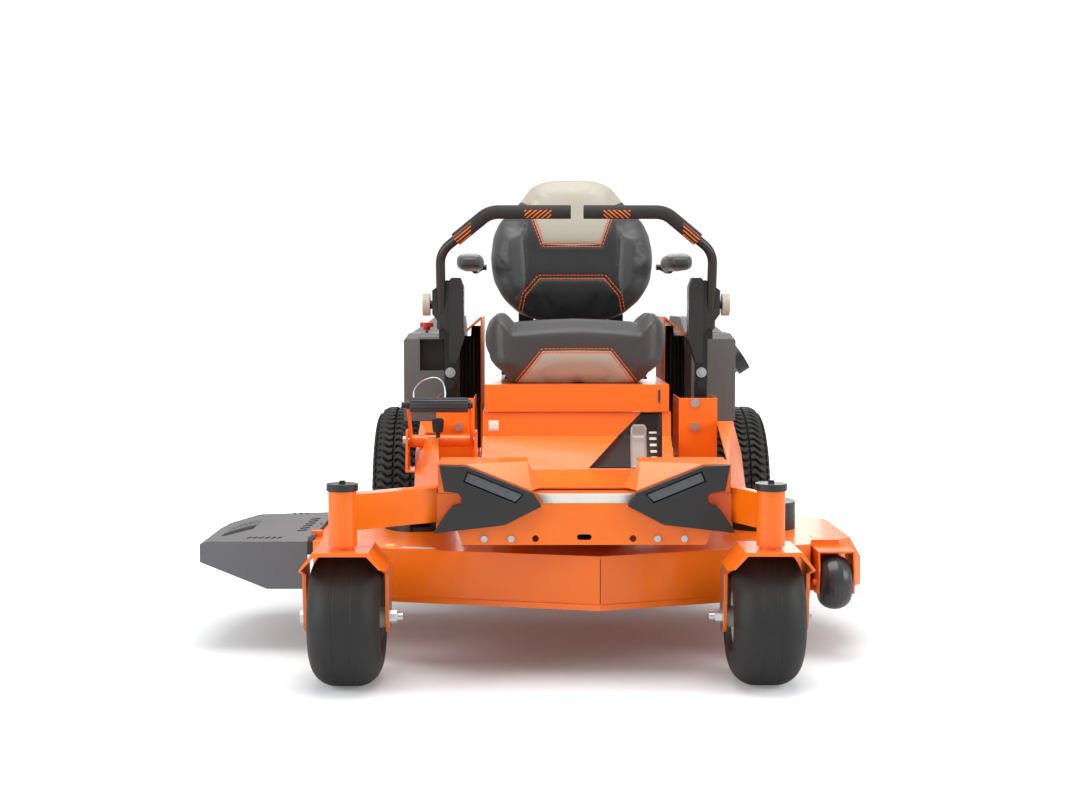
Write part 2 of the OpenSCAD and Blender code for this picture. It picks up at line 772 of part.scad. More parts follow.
// Bent plate fork with its stem, thrust washer, nut and axle bolt
module fork(side) {
    p = pivot_at(side);
    inner = -side; // towards the machine's centre
    axle = [caster_trail, caster_r];
    nut_z = tube_top + gap;
    color(orange) at_origin() translate([p.x, p.y, 0]) {
        difference() {
            intersection() {
                along_y(-60, 130) polygon([
                    [-fork_out, 60], [-fork_out, fork_under - 34], [-fork_out + 32, fork_top],
                    [fork_out - 32, fork_top], [fork_out, fork_under - 34], [fork_out, 60],
                    [fork_in, 60], [fork_in, fork_under - 30], [fork_in - 28, fork_under],
                    [-fork_in + 28, fork_under], [-fork_in, fork_under - 30], [-fork_in, 60]]);
                along_x(-fork_out - 1, fork_out + 1) union() {
                    polygon([[-52, fork_top + 1], [96, fork_top + 1], [112, axle[1] + 10],
                        [112, axle[1]], [48, axle[1]], [40, fork_under - 50], [-52, fork_under - 26]]);
                    translate(axle) circle(r = 32);
                }
            }
            rod_x(-fork_out - 2, fork_out + 2, axle[0], axle[1], caster_bolt_d / 2);
        }
        rod_z(fork_top - 1, tube_top + 5, 0, 0, stem_d / 2);
        rod_z(fork_top, tube_bottom - gap, 0, 0, 23);
        difference() {
            rod_z(nut_z, nut_z + 6, 0, 0, 20);
            rod_z(nut_z - 1, nut_z + 7, 0, 0, stem_d / 2);
        }
        rod_x(-fork_out, fork_out, axle[0], axle[1], caster_bolt_d / 2);
        translate([inner * fork_out, axle[0], axle[1]]) rotate([0, inner * 90, 0]) {
            hex(24, 14);
            cylinder(d = caster_bolt_d, h = 26);
        }
        translate([-inner * fork_out, axle[0], axle[1]]) rotate([0, -inner * 90, 0]) hex(24, 10);
    }
}

module drive_tyre(side) {
    color(black) at_origin() wheel_at(side * drive_x, 0, drive_r)
        tyre_section(drive_r, drive_tyre_w, drive_rim_d / 2, 42);
}

// Rim with its disc, the axle shaft and hub, and the wheel bolts
module drive_rim(side) {
    rim_r = drive_rim_d / 2;
    half = drive_tyre_w * 0.41;
    disc = 30; // the disc's outer face from the wheel's mid plane
    bolt_circle = 50.8;
    color("#c9c8c2") at_origin() translate([side * drive_x, 0, drive_r]) rotate([0, side * 90, 0]) {
        rotate_extrude($fn = 96) polygon([
            [0, disc - 4], [72, disc - 4], [rim_r - 14, disc - 22], [rim_r - 12, -half + 8],
            [rim_r - 6, -half], [rim_r, -half], [rim_r, half], [rim_r - 6, half],
            [rim_r - 9, half - 8], [rim_r - 10, disc - 18], [74, disc], [0, disc]]);
        rotate_extrude() polygon([
            [0, -drive_x + 160], [axle_d / 2, -drive_x + 160], [axle_d / 2, -70], [30, -66], [30, disc - 14],
            [66, disc - 14], [66, disc - 4], [0, disc - 4]]);
        translate([0, 0, disc]) {
            cylinder(r = 26, h = 14);
            for (a = [45:90:315]) rotate([0, 0, a]) translate([bolt_circle, 0, 0]) hex(19, 15);
        }
    }
}

// ---- lap bars ----

// Lever on the tower's pivot pin, with the swing pivot for the lap bar
module control_lever(side) {
    y = lever_at[0];
    color("#4c4743") at_origin() on_side(side) {
        difference() {
            rod_x(tower_in + sheet + 1, tower_out - sheet - 1, y, lever_at[1], 16);
            rod_x(tower_in, tower_out, y, lever_at[1], 8 + run_fit);
        }
        block([arm_x - 15, y + 8.5, lever_at[1]], [arm_x + 15, y + 16, swing_z]);
        rod_y(y + 8.5, y + 16, arm_x, swing_z, 15);
        rod_y(y - 4, y + 9, arm_x, swing_z, 6);
        rod_y(y - 10, y - 2, arm_x, swing_z, 11);
    }
}

// The flat arm at the foot of a lap bar, for positive x
module bar_arm() {
    y = lever_at[0];
    block([arm_x - 15, y, swing_z], [arm_x + 15, y + 8, 800]);
    block([arm_x, y, 690], [bar_x + 6, y + 8, 765]);
}

// Flat arm and bent tube, with the upper clamp bolt
module lap_bar(side) {
    y = lever_at[0];
    color(black) at_origin() on_side(side) difference() {
        union() {
            bar_arm();
            rod_y(y, y + 8, arm_x, swing_z, 15);
            rod_y(y - 8, y + 1, arm_x, swing_z + 28, 11);
            bent_bar([bar_low, bar_bend, bar_knee, bar_end], 60, bar_d / 2);
        }
        rod_y(y - 1, y + 9, arm_x, swing_z, 6 + run_fit);
    }
}

// Foam sleeve over the upper part of the bar
module grip(side) {
    start = bar_bend + (bar_knee - bar_bend) * 0.33;
    to_end = unit(bar_end - bar_knee);
    knee_turn = turn_at(start, bar_knee, bar_end);
    t = 60 * tan(knee_turn / 2) - lap;
    d = unit(bar_knee - start);
    color("#3f3933") at_origin() on_side(side) difference() {
        union() {
            bar_between(start, bar_knee - d * t, grip_d / 2);
            bend_arc(start, bar_knee, bar_end, 60, grip_d / 2);
            bar_between(bar_knee + to_end * t, bar_end + to_end * 4, grip_d / 2);
        }
        bar_between(start - d, bar_knee - d * t, bar_d / 2);
        bend_arc(start, bar_knee, bar_end, 60, bar_d / 2);
        bar_between(bar_knee + to_end * t, bar_end, bar_d / 2);
    }
}

// Moulded cover over the bar's clamp, with the round adjusting knob
module shroud(side) {
    y = lever_at[0];
    color("#5f5f5f") at_origin() on_side(side) {
        difference() {
            union() {
                along_y(y - 24, y + 22) polygon([
                    [268, 815], [276, 836], [297, 836], [303, 829], [303, 634], [286, 634], [268, 690]]);
                along_y(y - 20, y + 18) polygon([
                    [303, 830], [310, 830], [343, 806], [343, 750], [318, 716], [303, 704]]);
            }
            bar_arm();
            bar_between(bar_low - unit(bar_bend - bar_low), bar_bend, bar_d / 2);
        }
        rod_x(343, 349, y, 772, 10);
        rod_x(349, 366, y, 772, 26);
    }
}

// ---- seat ----

seat_hinge = [tower_front + 20, 530];

// Folded pan that tilts on its front hinge; the latch slot is in its front flange
module seat_pan() {
    half = 217;
    color(orange) at_origin() {
        difference() {
            block([-half, tower_front, 521], [half, -180, pan_z]);
            block([-half + sheet, tower_front + sheet, 500], [half - sheet, -180 - sheet, pan_z - sheet]);
            block([-half - 1, tower_front + 40, 500], [half + 1, -100, pan_z - 30]);
            block([-half - 1, tower_front + sheet, 500], [half + 1, -100, 534]);
            block([190, tower_front - 1, 540], [197, tower_front + 4, 572]);
        }
        for (s = sides) difference() {
            block([s * 170 - 4, tower_front + 12, 520], [s * 170 + 4, tower_front + 40, pan_z - 1]);
            rod_x(s * 170 - 10, s * 170 + 10, seat_hinge[0], seat_hinge[1], 5);
        }
    }
}

// Slide rails and the plate under the cushion
module seat_slide() {
    color(black) at_origin() {
        for (s = sides) block([s * 130 - 18, -560, pan_z + gap], [s * 130 + 18, -220, pan_z + 11]);
        block([-170, -580, pan_z + 10], [170, -200, pan_z + 15]);
        for (s = sides) along_x(s * 120 - 20, s * 120 + 20) polygon([
            [-215, pan_z + 11], [-120, pan_z + 25], [-56, 900], [-64, 900], [-132, pan_z + 30],
            [-196, pan_z + 15], [-215, pan_z + 15]]);
    }
}

module seat_cushion() {
    half = cushion_w / 2;
    low = pan_z + 15;
    color(vinyl) at_origin() difference() {
        intersection() {
            along_x(-half, half) polygon([
                [-600, low], [-632, low + 24], [-640, low + 62], [-630, low + 105], [-590, 731],
                [-540, 731], [-300, 716], [-215, 716], [-195, 690], [-200, low]]);
            along_y(-650, -180) polygon([
                [-half + 20, low], [-half, low + 40], [-half, 700], [-half + 20, 731], [half - 20, 731],
                [half, 700], [half, low + 40], [half - 20, low]]);
        }
        along_y(-500, -100) polygon([[-150, 740], [-120, 706], [120, 706], [150, 740]]);
    }
}

module seat_back() {
    half = back_w / 2;
    top = back_top_z;
    color(vinyl) at_origin() intersection() {
        along_x(-half, half) polygon([
            [-236, 722], [-246, 800], [-196, 1000], [-172, top - 20], [-148, top], [-110, top],
            [-90, top - 30], [-78, 900], [-112, 722]]);
        along_y(-300, 0) polygon([
            [-180, 718], [-half, 850], [-half, 960], [-half + 18, 1020], [-150, top - 20], [-130, top],
            [130, top], [150, top - 20], [half - 18, 1020], [half, 960], [half, 850], [180, 718]]);
    }
}

armrest_at = [-150, 868]; // y and z of the armrest pivots

module armrest(side) {
    x0 = 230;
    color(vinyl) at_origin() on_side(side) {
        along_x(x0, x0 + 62) polygon([
            [-480, 872], [-470, 857], [-440, 853], [-190, 853], [-190, 888], [-455, 892], [-474, 886]]);
        block([x0 + 4, -200, 858], [x0 + 12, -140, 878]);
        rod_x(back_w / 2 + gap, x0 + 12, armrest_at[0], armrest_at[1], 14);
    }
}

// ---- cutting deck ----

// Plan outline of the deck, grown or shrunk by moving every wall
function deck_points(t) = [
    [deck_nose.x, deck_nose.y + t],
    [500 - t, -940 + t], [514 - t, roller_at.y + roller_d / 2 + 4 + t],
    [575 - t, roller_at.y + roller_d / 2 + 4 + t], [deck_left - t, -800 + t / 2],
    [deck_left - t, -620 - t / 2], [545 - t / 2, deck_back - t],
    [deck_right + 90, deck_back - t], [deck_right + t, deck_back - 30 - t / 2],
    [deck_right + t, -890 + t / 2], [-416 + t / 2, -991 + t]];

// The stamped body's solid form; the left shoulder slopes from the wall up to the top face
module deck_body(t) {
    low = deck_edge_z - (t > 0 ? 1 : 0);
    intersection() {
        translate([0, 0, low]) linear_extrude(deck_top_z - t - low) polygon(deck_points(t));
        along_y(deck_nose.y - 10, deck_back + 10) polygon([
            [deck_right - 10, low - 1], [deck_left + 10, low - 1], [deck_left + 10, deck_top_z - 65 - t], [deck_left - 34, deck_top_z - t + 2], [deck_right - 10, deck_top_z - t + 2]]);
    }
}

// The reinforcing band along both front edges, stopping just short of the corners
module edge_band() {
    a = deck_nose + (deck_points(0)[10] - deck_nose) * 0.98;
    b = deck_nose + (deck_points(0)[1] - deck_nose) * 0.98;
    out = [0, -4];
    in = [0, 1.5];
    translate([0, 0, deck_edge_z]) linear_extrude(12)
        polygon([a + out, deck_nose + out, b + out, b + in, deck_nose + in, a + in]);
}

// Stamped shell, its front bands, the hangers and the roller bracket
module deck_shell() {
    slot_back = 8;
    color(orange) at_origin() {
        difference() {
            deck_body(0);
            deck_body(deck_plate);
            for (p = spindles) rod_z(deck_top_z - 20, deck_top_z + 5, p.x, p.y, 40);
            block([deck_right - 5, chute_front + 8, deck_edge_z - 2],
                [deck_right + deck_plate + 2, chute_back - 60, deck_top_z - 14]);
        }
        edge_band();
        for (s = sides) {
            hanger(s, front_pin_y, slot_back);
            hanger(s, rear_pin_y, -slot_back);
        }
        roller_bracket();
        // hinge lugs of the discharge chute
        for (y = [chute_front + 60, chute_back - 60]) difference() {
            block([deck_right - 12, y - 10, deck_top_z - 1], [deck_right + 12, y + 10, deck_top_z + 14]);
            rod_y(y - 11, y + 11, deck_right - 4, deck_top_z + 6, 4 + run_fit);
        }
    }
}

// Hanger plate with the slot that its lift pin runs in; the slot opens by reach along Y
module hanger(side, y, reach) {
    x = side * hanger_x;
    slot_a = min(0, reach) - pin_r - 1.5;
    slot_b = max(0, reach) + pin_r + 1.5;
    difference() {
        along_x(x - 3, x + 3) polygon([
            [y - 32, deck_top_z - 1], [y + 32, deck_top_z - 1], [y + 18, pin_z], [y + 18, pin_z + 13],
            [y - 18, pin_z + 13], [y - 18, pin_z]]);
        block([x - 4, y + slot_a, pin_z - pin_r - 1], [x + 4, y + slot_b, pin_z + pin_r + 1]);
    }
}

// Two cheeks and the axle that hold the anti-scalp roller at the deck's left front corner
module roller_bracket() {
    r = roller_at;
    half = 38;
    bridge_z = roller_at.z + roller_d / 2 + 8;
    for (s = [-1, 1]) along_x(r.x + s * half - 2, r.x + s * half + 2) polygon([
        [r.y - 26, r.z - 22], [r.y + 20, r.z - 26], [r.y + 62, r.z - 4],
        [r.y + 66, bridge_z + 4], [r.y - 24, bridge_z + 4], [r.y - 34, r.z + 30]]);
    block([r.x - half, r.y - 24, bridge_z], [r.x + half, r.y + 66, bridge_z + 4]);
    rod_x(r.x - half - 8, r.x + half + 8, r.y, r.z, 6);
}

// Ball-shaped roller at the deck's left front corner
module scalp_roller() {
    r = roller_d / 2;
    half = 34;
    color("#6a6a6a") at_origin() wheel_at(roller_at.x, roller_at.y, roller_at.z)
        polygon(concat(
            [[6 + run_fit, -half]],
            [for (a = [-50:10:50]) [r - 24 + 24 * cos(a * 1.8), half * sin(a * 1.8)]],
            [[6 + run_fit, half]]));
}

// Cast bearing housings, bolted through the deck
module spindle_housings() {
    color("#8a8c8e") at_origin() for (p = spindles) translate([p.x, p.y, 0]) difference() {
        union() {
            rod_z(deck_top_z, deck_top_z + 10, 0, 0, 78);
            rod_z(blade_z + 34, deck_top_z + 34, 0, 0, 39);
            for (a = [0:60:300]) rotate([0, 0, a]) translate([66, 0, deck_top_z + 10]) hex(13, 7);
        }
        rod_z(blade_z, deck_top_z + 40, 0, 0, spindle_d / 2 + run_fit);
    }
}

// Blade with raised wing tips, on its shaft with the grooved pulley above the deck
module blade_set(p) {
    half = blade_len / 2;
    color("#55585c") at_origin() translate([p.x, p.y, 0]) {
        rod_z(blade_z - 1, belt_z + 14, 0, 0, spindle_d / 2);
        translate([0, 0, blade_z - 10]) hex(24, 9);
        intersection() {
            union() {
                block([-half, -28, blade_z], [half, 28, blade_z + 6]);
                for (s = [-1, 1]) scale([s, s, 1]) along_x(half - 90, half) polygon([
                    [10, blade_z], [28, blade_z], [46, blade_z + 22], [42, blade_z + 26]]);
            }
            rod_z(blade_z - 1, blade_z + 30, 0, 0, half, 96);
        }
        rod_z(blade_z + 6, blade_z + 33, 0, 0, 24);
        translate([0, 0, belt_z]) rotate_extrude($fn = 72) polygon([
            [spindle_d / 2 - 1, -8], [30, -8], [pulley_d / 2 + 5, -6], [pulley_d / 2 + 5, -3],
            [pulley_d / 2, 0], [pulley_d / 2, 8], [pulley_d / 2 + 5, 11], [pulley_d / 2 + 5, 13],
            [spindle_d / 2 - 1, 13]]);
    }
}

// Belt round the three deck pulleys
module deck_belt() {
    inner = pulley_d / 2 + gap;
    color("#1c1c1c") at_origin() translate([0, 0, belt_z + 0.5]) linear_extrude(7) difference() {
        hull() for (p = spindles) translate(p) circle(r = inner + 5);
        hull() for (p = spindles) translate(p) circle(r = inner);
    }
}

// Vacuum-formed covers over the two outer pulleys, open towards the belt
module pulley_covers() {
    r = pulley_d / 2 + 20;
    high = belt_z + 19;
    color(black) at_origin() for (p = [right_spindle, left_spindle]) {
        inward = p.x > 0 ? -1 : 1;
        difference() {
            rod_z(deck_top_z, high, p.x, p.y, r);
            rod_z(deck_top_z - 1, high - 3, p.x, p.y, r - 3);
            translate([p.x, p.y, 0]) scale([inward, 1, 1])
                block([-20, -r - 1, deck_top_z - 1], [r + 1, r + 1, high - 3.01]);
        }
    }
}

// Moulded deflector hinged along the deck's right side
module discharge_chute() {
    wall = 4;
    root = deck_right - 14;
    tip = chute_tip;
    top = deck_top_z - 2;
    color(charcoal) at_origin() {
        difference() {
            chute_form(root, tip, top, 0);
            chute_form(root + 1, tip + wall, top - wall, wall);
        }
        rod_y(chute_front + 20, chute_back - 20, deck_right - 4, deck_top_z + 6, 4);
        for (y = [chute_front + 30, -640, chute_back - 30]) difference() {
            block([root - 1, y - 8, top - 4], [deck_right - 4, y + 8, top + 8]);
            rod_y(y - 9, y + 9, deck_right - 4, deck_top_z + 6, 4);
        }
    }
}

// The deflector's outer form: a top that narrows outwards over deep front and rear skirts
module chute_form(root, tip, top, inset) {
    intersection() {
        translate([0, 0, 60]) linear_extrude(top - 60) polygon([
            [root, chute_front + inset], [tip, chute_front + inset], [tip, chute_front + 240],
            [tip + 60, chute_back - 40 - inset], [root, chute_back - inset]]);
        along_y(chute_front - 1, chute_back + 1) polygon([
            [root, deck_edge_z + 6 - inset * 3], [root - 90, deck_edge_z + 6 - inset * 3],
            [tip, top - 46 - inset * 3], [tip, top - 6], [tip + 16, top], [root, top]]);
    }
}

// ---- deck lift ----

// Ribbed foot pedal between two arms on a hub
module lift_pedal() {
    y = pedal_at[0];
    z = pedal_at[1];
    ribs = 12;
    color("#50504e") at_origin() {
        difference() {
            union() {
                rod_x(-382, -238, y, z, 14);
                for (x = [-380, -245]) hull() {
                    rod_x(x, x + 5, y, z, 14, 32);
                    rod_x(x, x + 5, pedal_grip_at[0], pedal_grip_at[1], 12, 32);
                }
            }
            rod_x(-390, -230, y, z, 8 + run_fit);
        }
        rod_x(-392, -236, pedal_grip_at[0], pedal_grip_at[1], 7);
        difference() {
            rod_x(-372, -247, pedal_grip_at[0], pedal_grip_at[1], 15);
            for (i = [0:ribs - 1]) translate([0, pedal_grip_at[0], pedal_grip_at[1]])
                rotate([i * 360 / ribs, 0, 0]) block([-380, -1.5, 12], [-240, 1.5, 16]);
        }
    }
}

// Cross shaft with two arms; ahead is -1 where the arms point forwards
module lift_shaft(y, ahead) {
    tip = y + ahead * lift_arm * cos(lift_angle);
    inner = rail_x - rail_w / 2;
    color("#8a6a4a") at_origin() {
        rod_x(-rail_x - rail_w / 2 - 6, rail_x + rail_w / 2 + 6, y, lift_z, lift_shaft_r);
        for (s = sides) on_side(s) {
            hull() {
                rod_x(hanger_x + 5, hanger_x + 13, y, lift_z, 19, 32);
                rod_x(hanger_x + 5, hanger_x + 13, tip, pin_z, 11, 32);
            }
            rod_x(hanger_x - 10, hanger_x + 12, tip, pin_z, pin_r);
        }
    }
}

frame_rails();
front_axle();
pivot_bearings();
front_cowl();
headlight_housings();
headlight_lenses();
foot_pan();
seat_box();
control_towers();
right_fender();
left_fender();
fuel_tank();
engine_block();
blower_housing();
muffler();
engine_guard();
battery();
transaxles();
frame_bolts();
fuel_cap();
pto_knob();
throttle_lever();
ignition_key();
fork(right);  // right_fork
fork(left);  // left_fork
caster_tyre(right);  // right_caster_tyre
caster_tyre(left);  // left_caster_tyre
caster_rim(right);  // right_caster_rim
caster_rim(left);  // left_caster_rim
drive_tyre(right);  // right_drive_tyre
drive_tyre(left);  // left_drive_tyre
drive_rim(right);  // right_drive_rim
drive_rim(left);  // left_drive_rim
control_lever(right);  // right_control_lever
control_lever(left);  // left_control_lever
lap_bar(right);  // right_lap_bar
lap_bar(left);  // left_lap_bar
grip(right);  // right_grip
grip(left);  // left_grip
shroud(right);  // right_shroud
shroud(left);  // left_shroud
seat_pan();
seat_slide();
seat_cushion();
seat_back();
armrest(right);  // right_armrest
armrest(left);  // left_armrest
deck_shell();
pulley_covers();
spindle_housings();
deck_belt();
discharge_chute();
scalp_roller();
lift_pedal();
lift_shaft(front_shaft_y, 1);  // front_lift_shaft
lift_shaft(rear_shaft_y, -1);  // rear_lift_shaft
blade_set(right_spindle);  // right_blade
blade_set(mid_spindle);  // middle_blade
blade_set(left_spindle);  // left_blade
engine_pulley();
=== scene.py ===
# %% [markdown]
# # A zero-turn mower, dressed piece by piece
# The engineering model already has every bracket, wheel and lever at its real size. Here those
# pieces get real finishes, their folded edges get a small radius, and the soft and moulded pieces
# that need a better shape, such as tyres and upholstery, are made again as curved surfaces.

# %% Load the fixed frame
import json
import math

import bmesh
import bpy
import numpy as np
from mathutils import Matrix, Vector
from mathutils.bvhtree import BVHTree


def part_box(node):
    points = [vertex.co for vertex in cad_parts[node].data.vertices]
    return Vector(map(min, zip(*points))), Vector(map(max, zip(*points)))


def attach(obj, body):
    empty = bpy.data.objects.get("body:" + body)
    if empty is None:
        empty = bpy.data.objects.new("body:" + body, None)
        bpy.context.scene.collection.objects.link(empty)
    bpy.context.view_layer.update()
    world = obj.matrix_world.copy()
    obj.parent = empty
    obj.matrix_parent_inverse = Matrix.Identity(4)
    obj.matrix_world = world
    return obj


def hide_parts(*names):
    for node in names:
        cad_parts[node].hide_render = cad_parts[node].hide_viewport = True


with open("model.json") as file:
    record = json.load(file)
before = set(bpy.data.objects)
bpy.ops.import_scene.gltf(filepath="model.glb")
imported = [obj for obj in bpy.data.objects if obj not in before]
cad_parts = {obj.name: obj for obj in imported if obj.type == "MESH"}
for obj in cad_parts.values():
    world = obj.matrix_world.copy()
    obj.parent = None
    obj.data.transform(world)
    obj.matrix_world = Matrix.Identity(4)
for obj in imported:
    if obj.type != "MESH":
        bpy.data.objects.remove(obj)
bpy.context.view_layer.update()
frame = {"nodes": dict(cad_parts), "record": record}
nodes = frame["nodes"]
slot_of = {s["node"]: s["material_slot"] for s in frame["record"]["subparts"]}
body_of = {n: b for b, members in frame["record"]["behaviour"]["bodies"].items() for n in members}

# %% [markdown]
# ## Measuring from the machine itself
# It is easier to think in millimetres from the rear axle and the frame's centreline, as the maker
# would, than from the middle of a box that includes the discharge chute. So one function turns
# those distances into the row frame, and the axle and the seat box say where its origin is.

# %% Distances in millimetres from the rear axle and the centreline
box_low, box_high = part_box("seat_box")
wheel_low, wheel_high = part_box("left_drive_tyre")
AXLE = np.array([(box_low.x + box_high.x) / 2, (wheel_low.y + wheel_high.y) / 2, 0.0])


def metres(points):
    """Row-frame metres of points given in millimetres from the axle: scale by 1/1000, then shift."""
    return np.asarray(points, float) / 1000 + AXLE


def millimetres(points):
    """The way back: millimetres from the axle, of row-frame metres."""
    return (np.asarray(points, float) - AXLE) * 1000


print("axle at", AXLE.round(4))

# %% [markdown]
# ## Camera
# The mower is seen from straight ahead, a little to its right of the centreline and from the
# height of the seat. A long lens keeps the wheels nearly parallel, so the camera stands well back.

# %% The camera
camera_data = bpy.data.cameras.new("studio_camera")
camera_data.sensor_width = 36.0
camera_data.lens = 52.8
camera = bpy.data.objects.new("studio_camera", camera_data)
camera.location = metres([-116, -4360, 795])
camera.rotation_euler = (math.radians(90 - 3.97), 0, -math.radians(0.449))
bpy.context.scene.collection.objects.link(camera)
bpy.context.scene.camera = camera

# %% [markdown]
# ## Floor and light
# A catalogue studio: a flat pale floor, one broad soft light above, two weaker ones at the sides and one
# behind the machine. The shadow on the floor stays pale.
# Colours are shown as they are (the Standard view), because the film-like view greys a strong
# orange.

# %% Studio
STAGE_SIZE = 60.0


def studio_floor():
    """A flat square on z = 0."""
    half = STAGE_SIZE / 2
    mesh = bpy.data.meshes.new("studio_floor")
    corners = [(-half, -half, 0), (half, -half, 0), (half, half, 0), (-half, half, 0)]
    mesh.from_pydata(corners, [], [(0, 1, 2, 3)])
    floor = bpy.data.objects.new("studio_floor", mesh)
    bpy.context.scene.collection.objects.link(floor)
    return floor


def soft_light(name, place_mm, aim_mm, size, power, colour=(1, 1, 1)):
    """A square area light at one point, turned so that its -Z axis looks at another."""
    data = bpy.data.lights.new(name, "AREA")
    data.shape, data.size, data.energy, data.color = "SQUARE", size, power, colour
    light = bpy.data.objects.new(name, data)
    light.location = metres(place_mm)
    towards = Vector(metres(aim_mm)) - light.location
    light.rotation_euler = towards.to_track_quat("-Z", "Y").to_euler()
    bpy.context.scene.collection.objects.link(light)
    return light


floor = studio_floor()
soft_light("top_light", (0, -1100, 3600), (0, -600, 300), 2.6, 105)
soft_light("left_light", (-3600, -2600, 1700), (0, -500, 500), 1.8, 75)
soft_light("right_light", (3600, -2200, 1900), (0, -500, 500), 1.8, 65)
soft_light("back_light", (300, 4200, 1900), (0, 300, 500), 2.4, 55)

world = bpy.data.worlds.new("studio_air")
bpy.context.scene.world = world
world.use_nodes = True
bpy.context.scene.view_settings.view_transform = "Standard"
AIR_LIGHT, PAPER_WHITE = 0.62, 1.02

# %% [markdown]
# ## Colour and node helpers
# Paint and plastic charts give colours as sRGB hex codes, while shaders add up light, so every
# code is turned linear once. One helper adds any node with its settings and links.

# %% Helpers for materials


def linear(code):
    """Linear RGBA of an sRGB hex code: below 0.04045 a straight part, above it a 2.4 power."""
    rgb = np.array([int(code[i:i + 2], 16) for i in (1, 3, 5)]) / 255
    flat = np.where(rgb <= 0.04045, rgb / 12.92, ((rgb + 0.055) / 1.055) ** 2.4)
    return (*flat.tolist(), 1.0)


def add(tree, kind, settings=None, **inputs):
    """Adds a node. settings are its own properties; inputs are socket values or links, by socket name
    with underscores for spaces, or by i0, i1 ... for a socket's number."""
    node = tree.nodes.new(kind)
    for key, value in (settings or {}).items():
        setattr(node, key, value)
    for key, value in inputs.items():
        place = int(key[1:]) if key[0] == "i" and key[1:].isdigit() else key.replace("_", " ")
        if isinstance(value, bpy.types.NodeSocket):
            tree.links.new(value, node.inputs[place])
        else:
            node.inputs[place].default_value = value
    return node


def start_material(name):
    """An empty material with its output, shader and Object coordinates."""
    material = bpy.data.materials.new(name)
    material.use_nodes = True
    tree = material.node_tree
    tree.nodes.clear()
    shader = add(tree, "ShaderNodeBsdfPrincipled")
    output = add(tree, "ShaderNodeOutputMaterial")
    tree.links.new(shader.outputs["BSDF"], output.inputs["Surface"])
    where = add(tree, "ShaderNodeTexCoord").outputs["Object"]
    return material, tree, shader, where


def per_mm(size):
    """The Scale of a noise whose features are about that many millimetres across."""
    return 1000.0 / size


def finish(name, dark, light, rough, metallic=0.0, patch=180.0, grain=1.2, relief=0.02,
           coat=0.0, sheen=0.0, ior=1.5, spread=0.06, dust=0.0):
    """A surface with slow colour drift, uneven gloss and a fine relief.
    Two shades are mixed by noise of patch millimetres; roughness swings by spread; grain and relief
    are the relief's feature size and its height in millimetres; dust pales what faces up."""
    material, tree, shader, where = start_material(name)
    drift = add(tree, "ShaderNodeTexNoise", Vector=where, Scale=per_mm(patch), Detail=4.0, Roughness=0.6)
    shades = add(tree, "ShaderNodeMix", {"data_type": "RGBA"}, Factor=drift.outputs["Fac"],
                 A=linear(dark), B=linear(light))
    colour = shades.outputs["Result"]
    if dust:
        normal = add(tree, "ShaderNodeNewGeometry").outputs["Normal"]
        facing = add(tree, "ShaderNodeSeparateXYZ", Vector=normal)
        upward = add(tree, "ShaderNodeMath", {"operation": "MULTIPLY", "use_clamp": True},
                     i0=facing.outputs["Z"], i1=dust)
        specks = add(tree, "ShaderNodeTexNoise", Vector=where, Scale=per_mm(30), Detail=6.0)
        amount = add(tree, "ShaderNodeMath", {"operation": "MULTIPLY"}, i0=upward.outputs[0],
                     i1=specks.outputs["Fac"])
        dusty = add(tree, "ShaderNodeMix", {"data_type": "RGBA"}, Factor=amount.outputs[0], A=colour,
                    B=linear("#b8b0a4"))
        colour = dusty.outputs["Result"]
    tree.links.new(colour, shader.inputs["Base Color"])
    uneven = add(tree, "ShaderNodeTexNoise", Vector=where, Scale=per_mm(patch / 6), Detail=3.0)
    gloss = add(tree, "ShaderNodeMapRange", Value=uneven.outputs["Fac"],
                To_Min=max(0.02, rough - spread), To_Max=min(1.0, rough + spread))
    tree.links.new(gloss.outputs["Result"], shader.inputs["Roughness"])
    if relief:
        skin = add(tree, "ShaderNodeTexNoise", Vector=where, Scale=per_mm(grain), Detail=2.0)
        bump = add(tree, "ShaderNodeBump", Strength=0.6, Distance=relief / 1000, Height=skin.outputs["Fac"])
        tree.links.new(bump.outputs["Normal"], shader.inputs["Normal"])
    shader.inputs["Metallic"].default_value = metallic
    shader.inputs["Coat Weight"].default_value = coat
    shader.inputs["Coat Roughness"].default_value = 0.12
    shader.inputs["Sheen Weight"].default_value = sheen
    if metallic < 0.5:
        shader.inputs["IOR"].default_value = ior
    return material


# %% [markdown]
# ## White paper
# Catalogue pictures stand on overexposed paper. The air lights the mower gently yet is shown
# white, and the floor fades to the same white a step away from the wheels, so no horizon shows
# and the dark recesses of the machine still stay dark.

# %% Paper-white surroundings
air = world.node_tree
air.nodes.clear()
glow = add(air, "ShaderNodeBackground", Strength=AIR_LIGHT, Color=(1, 1, 1, 1))
paper = add(air, "ShaderNodeBackground", Strength=PAPER_WHITE, Color=(1, 1, 1, 1))
seen = add(air, "ShaderNodeLightPath").outputs["Is Camera Ray"]
air_mix = add(air, "ShaderNodeMixShader", i0=seen, i1=glow.outputs[0], i2=paper.outputs[0])
add(air, "ShaderNodeOutputWorld", Surface=air_mix.outputs[0])

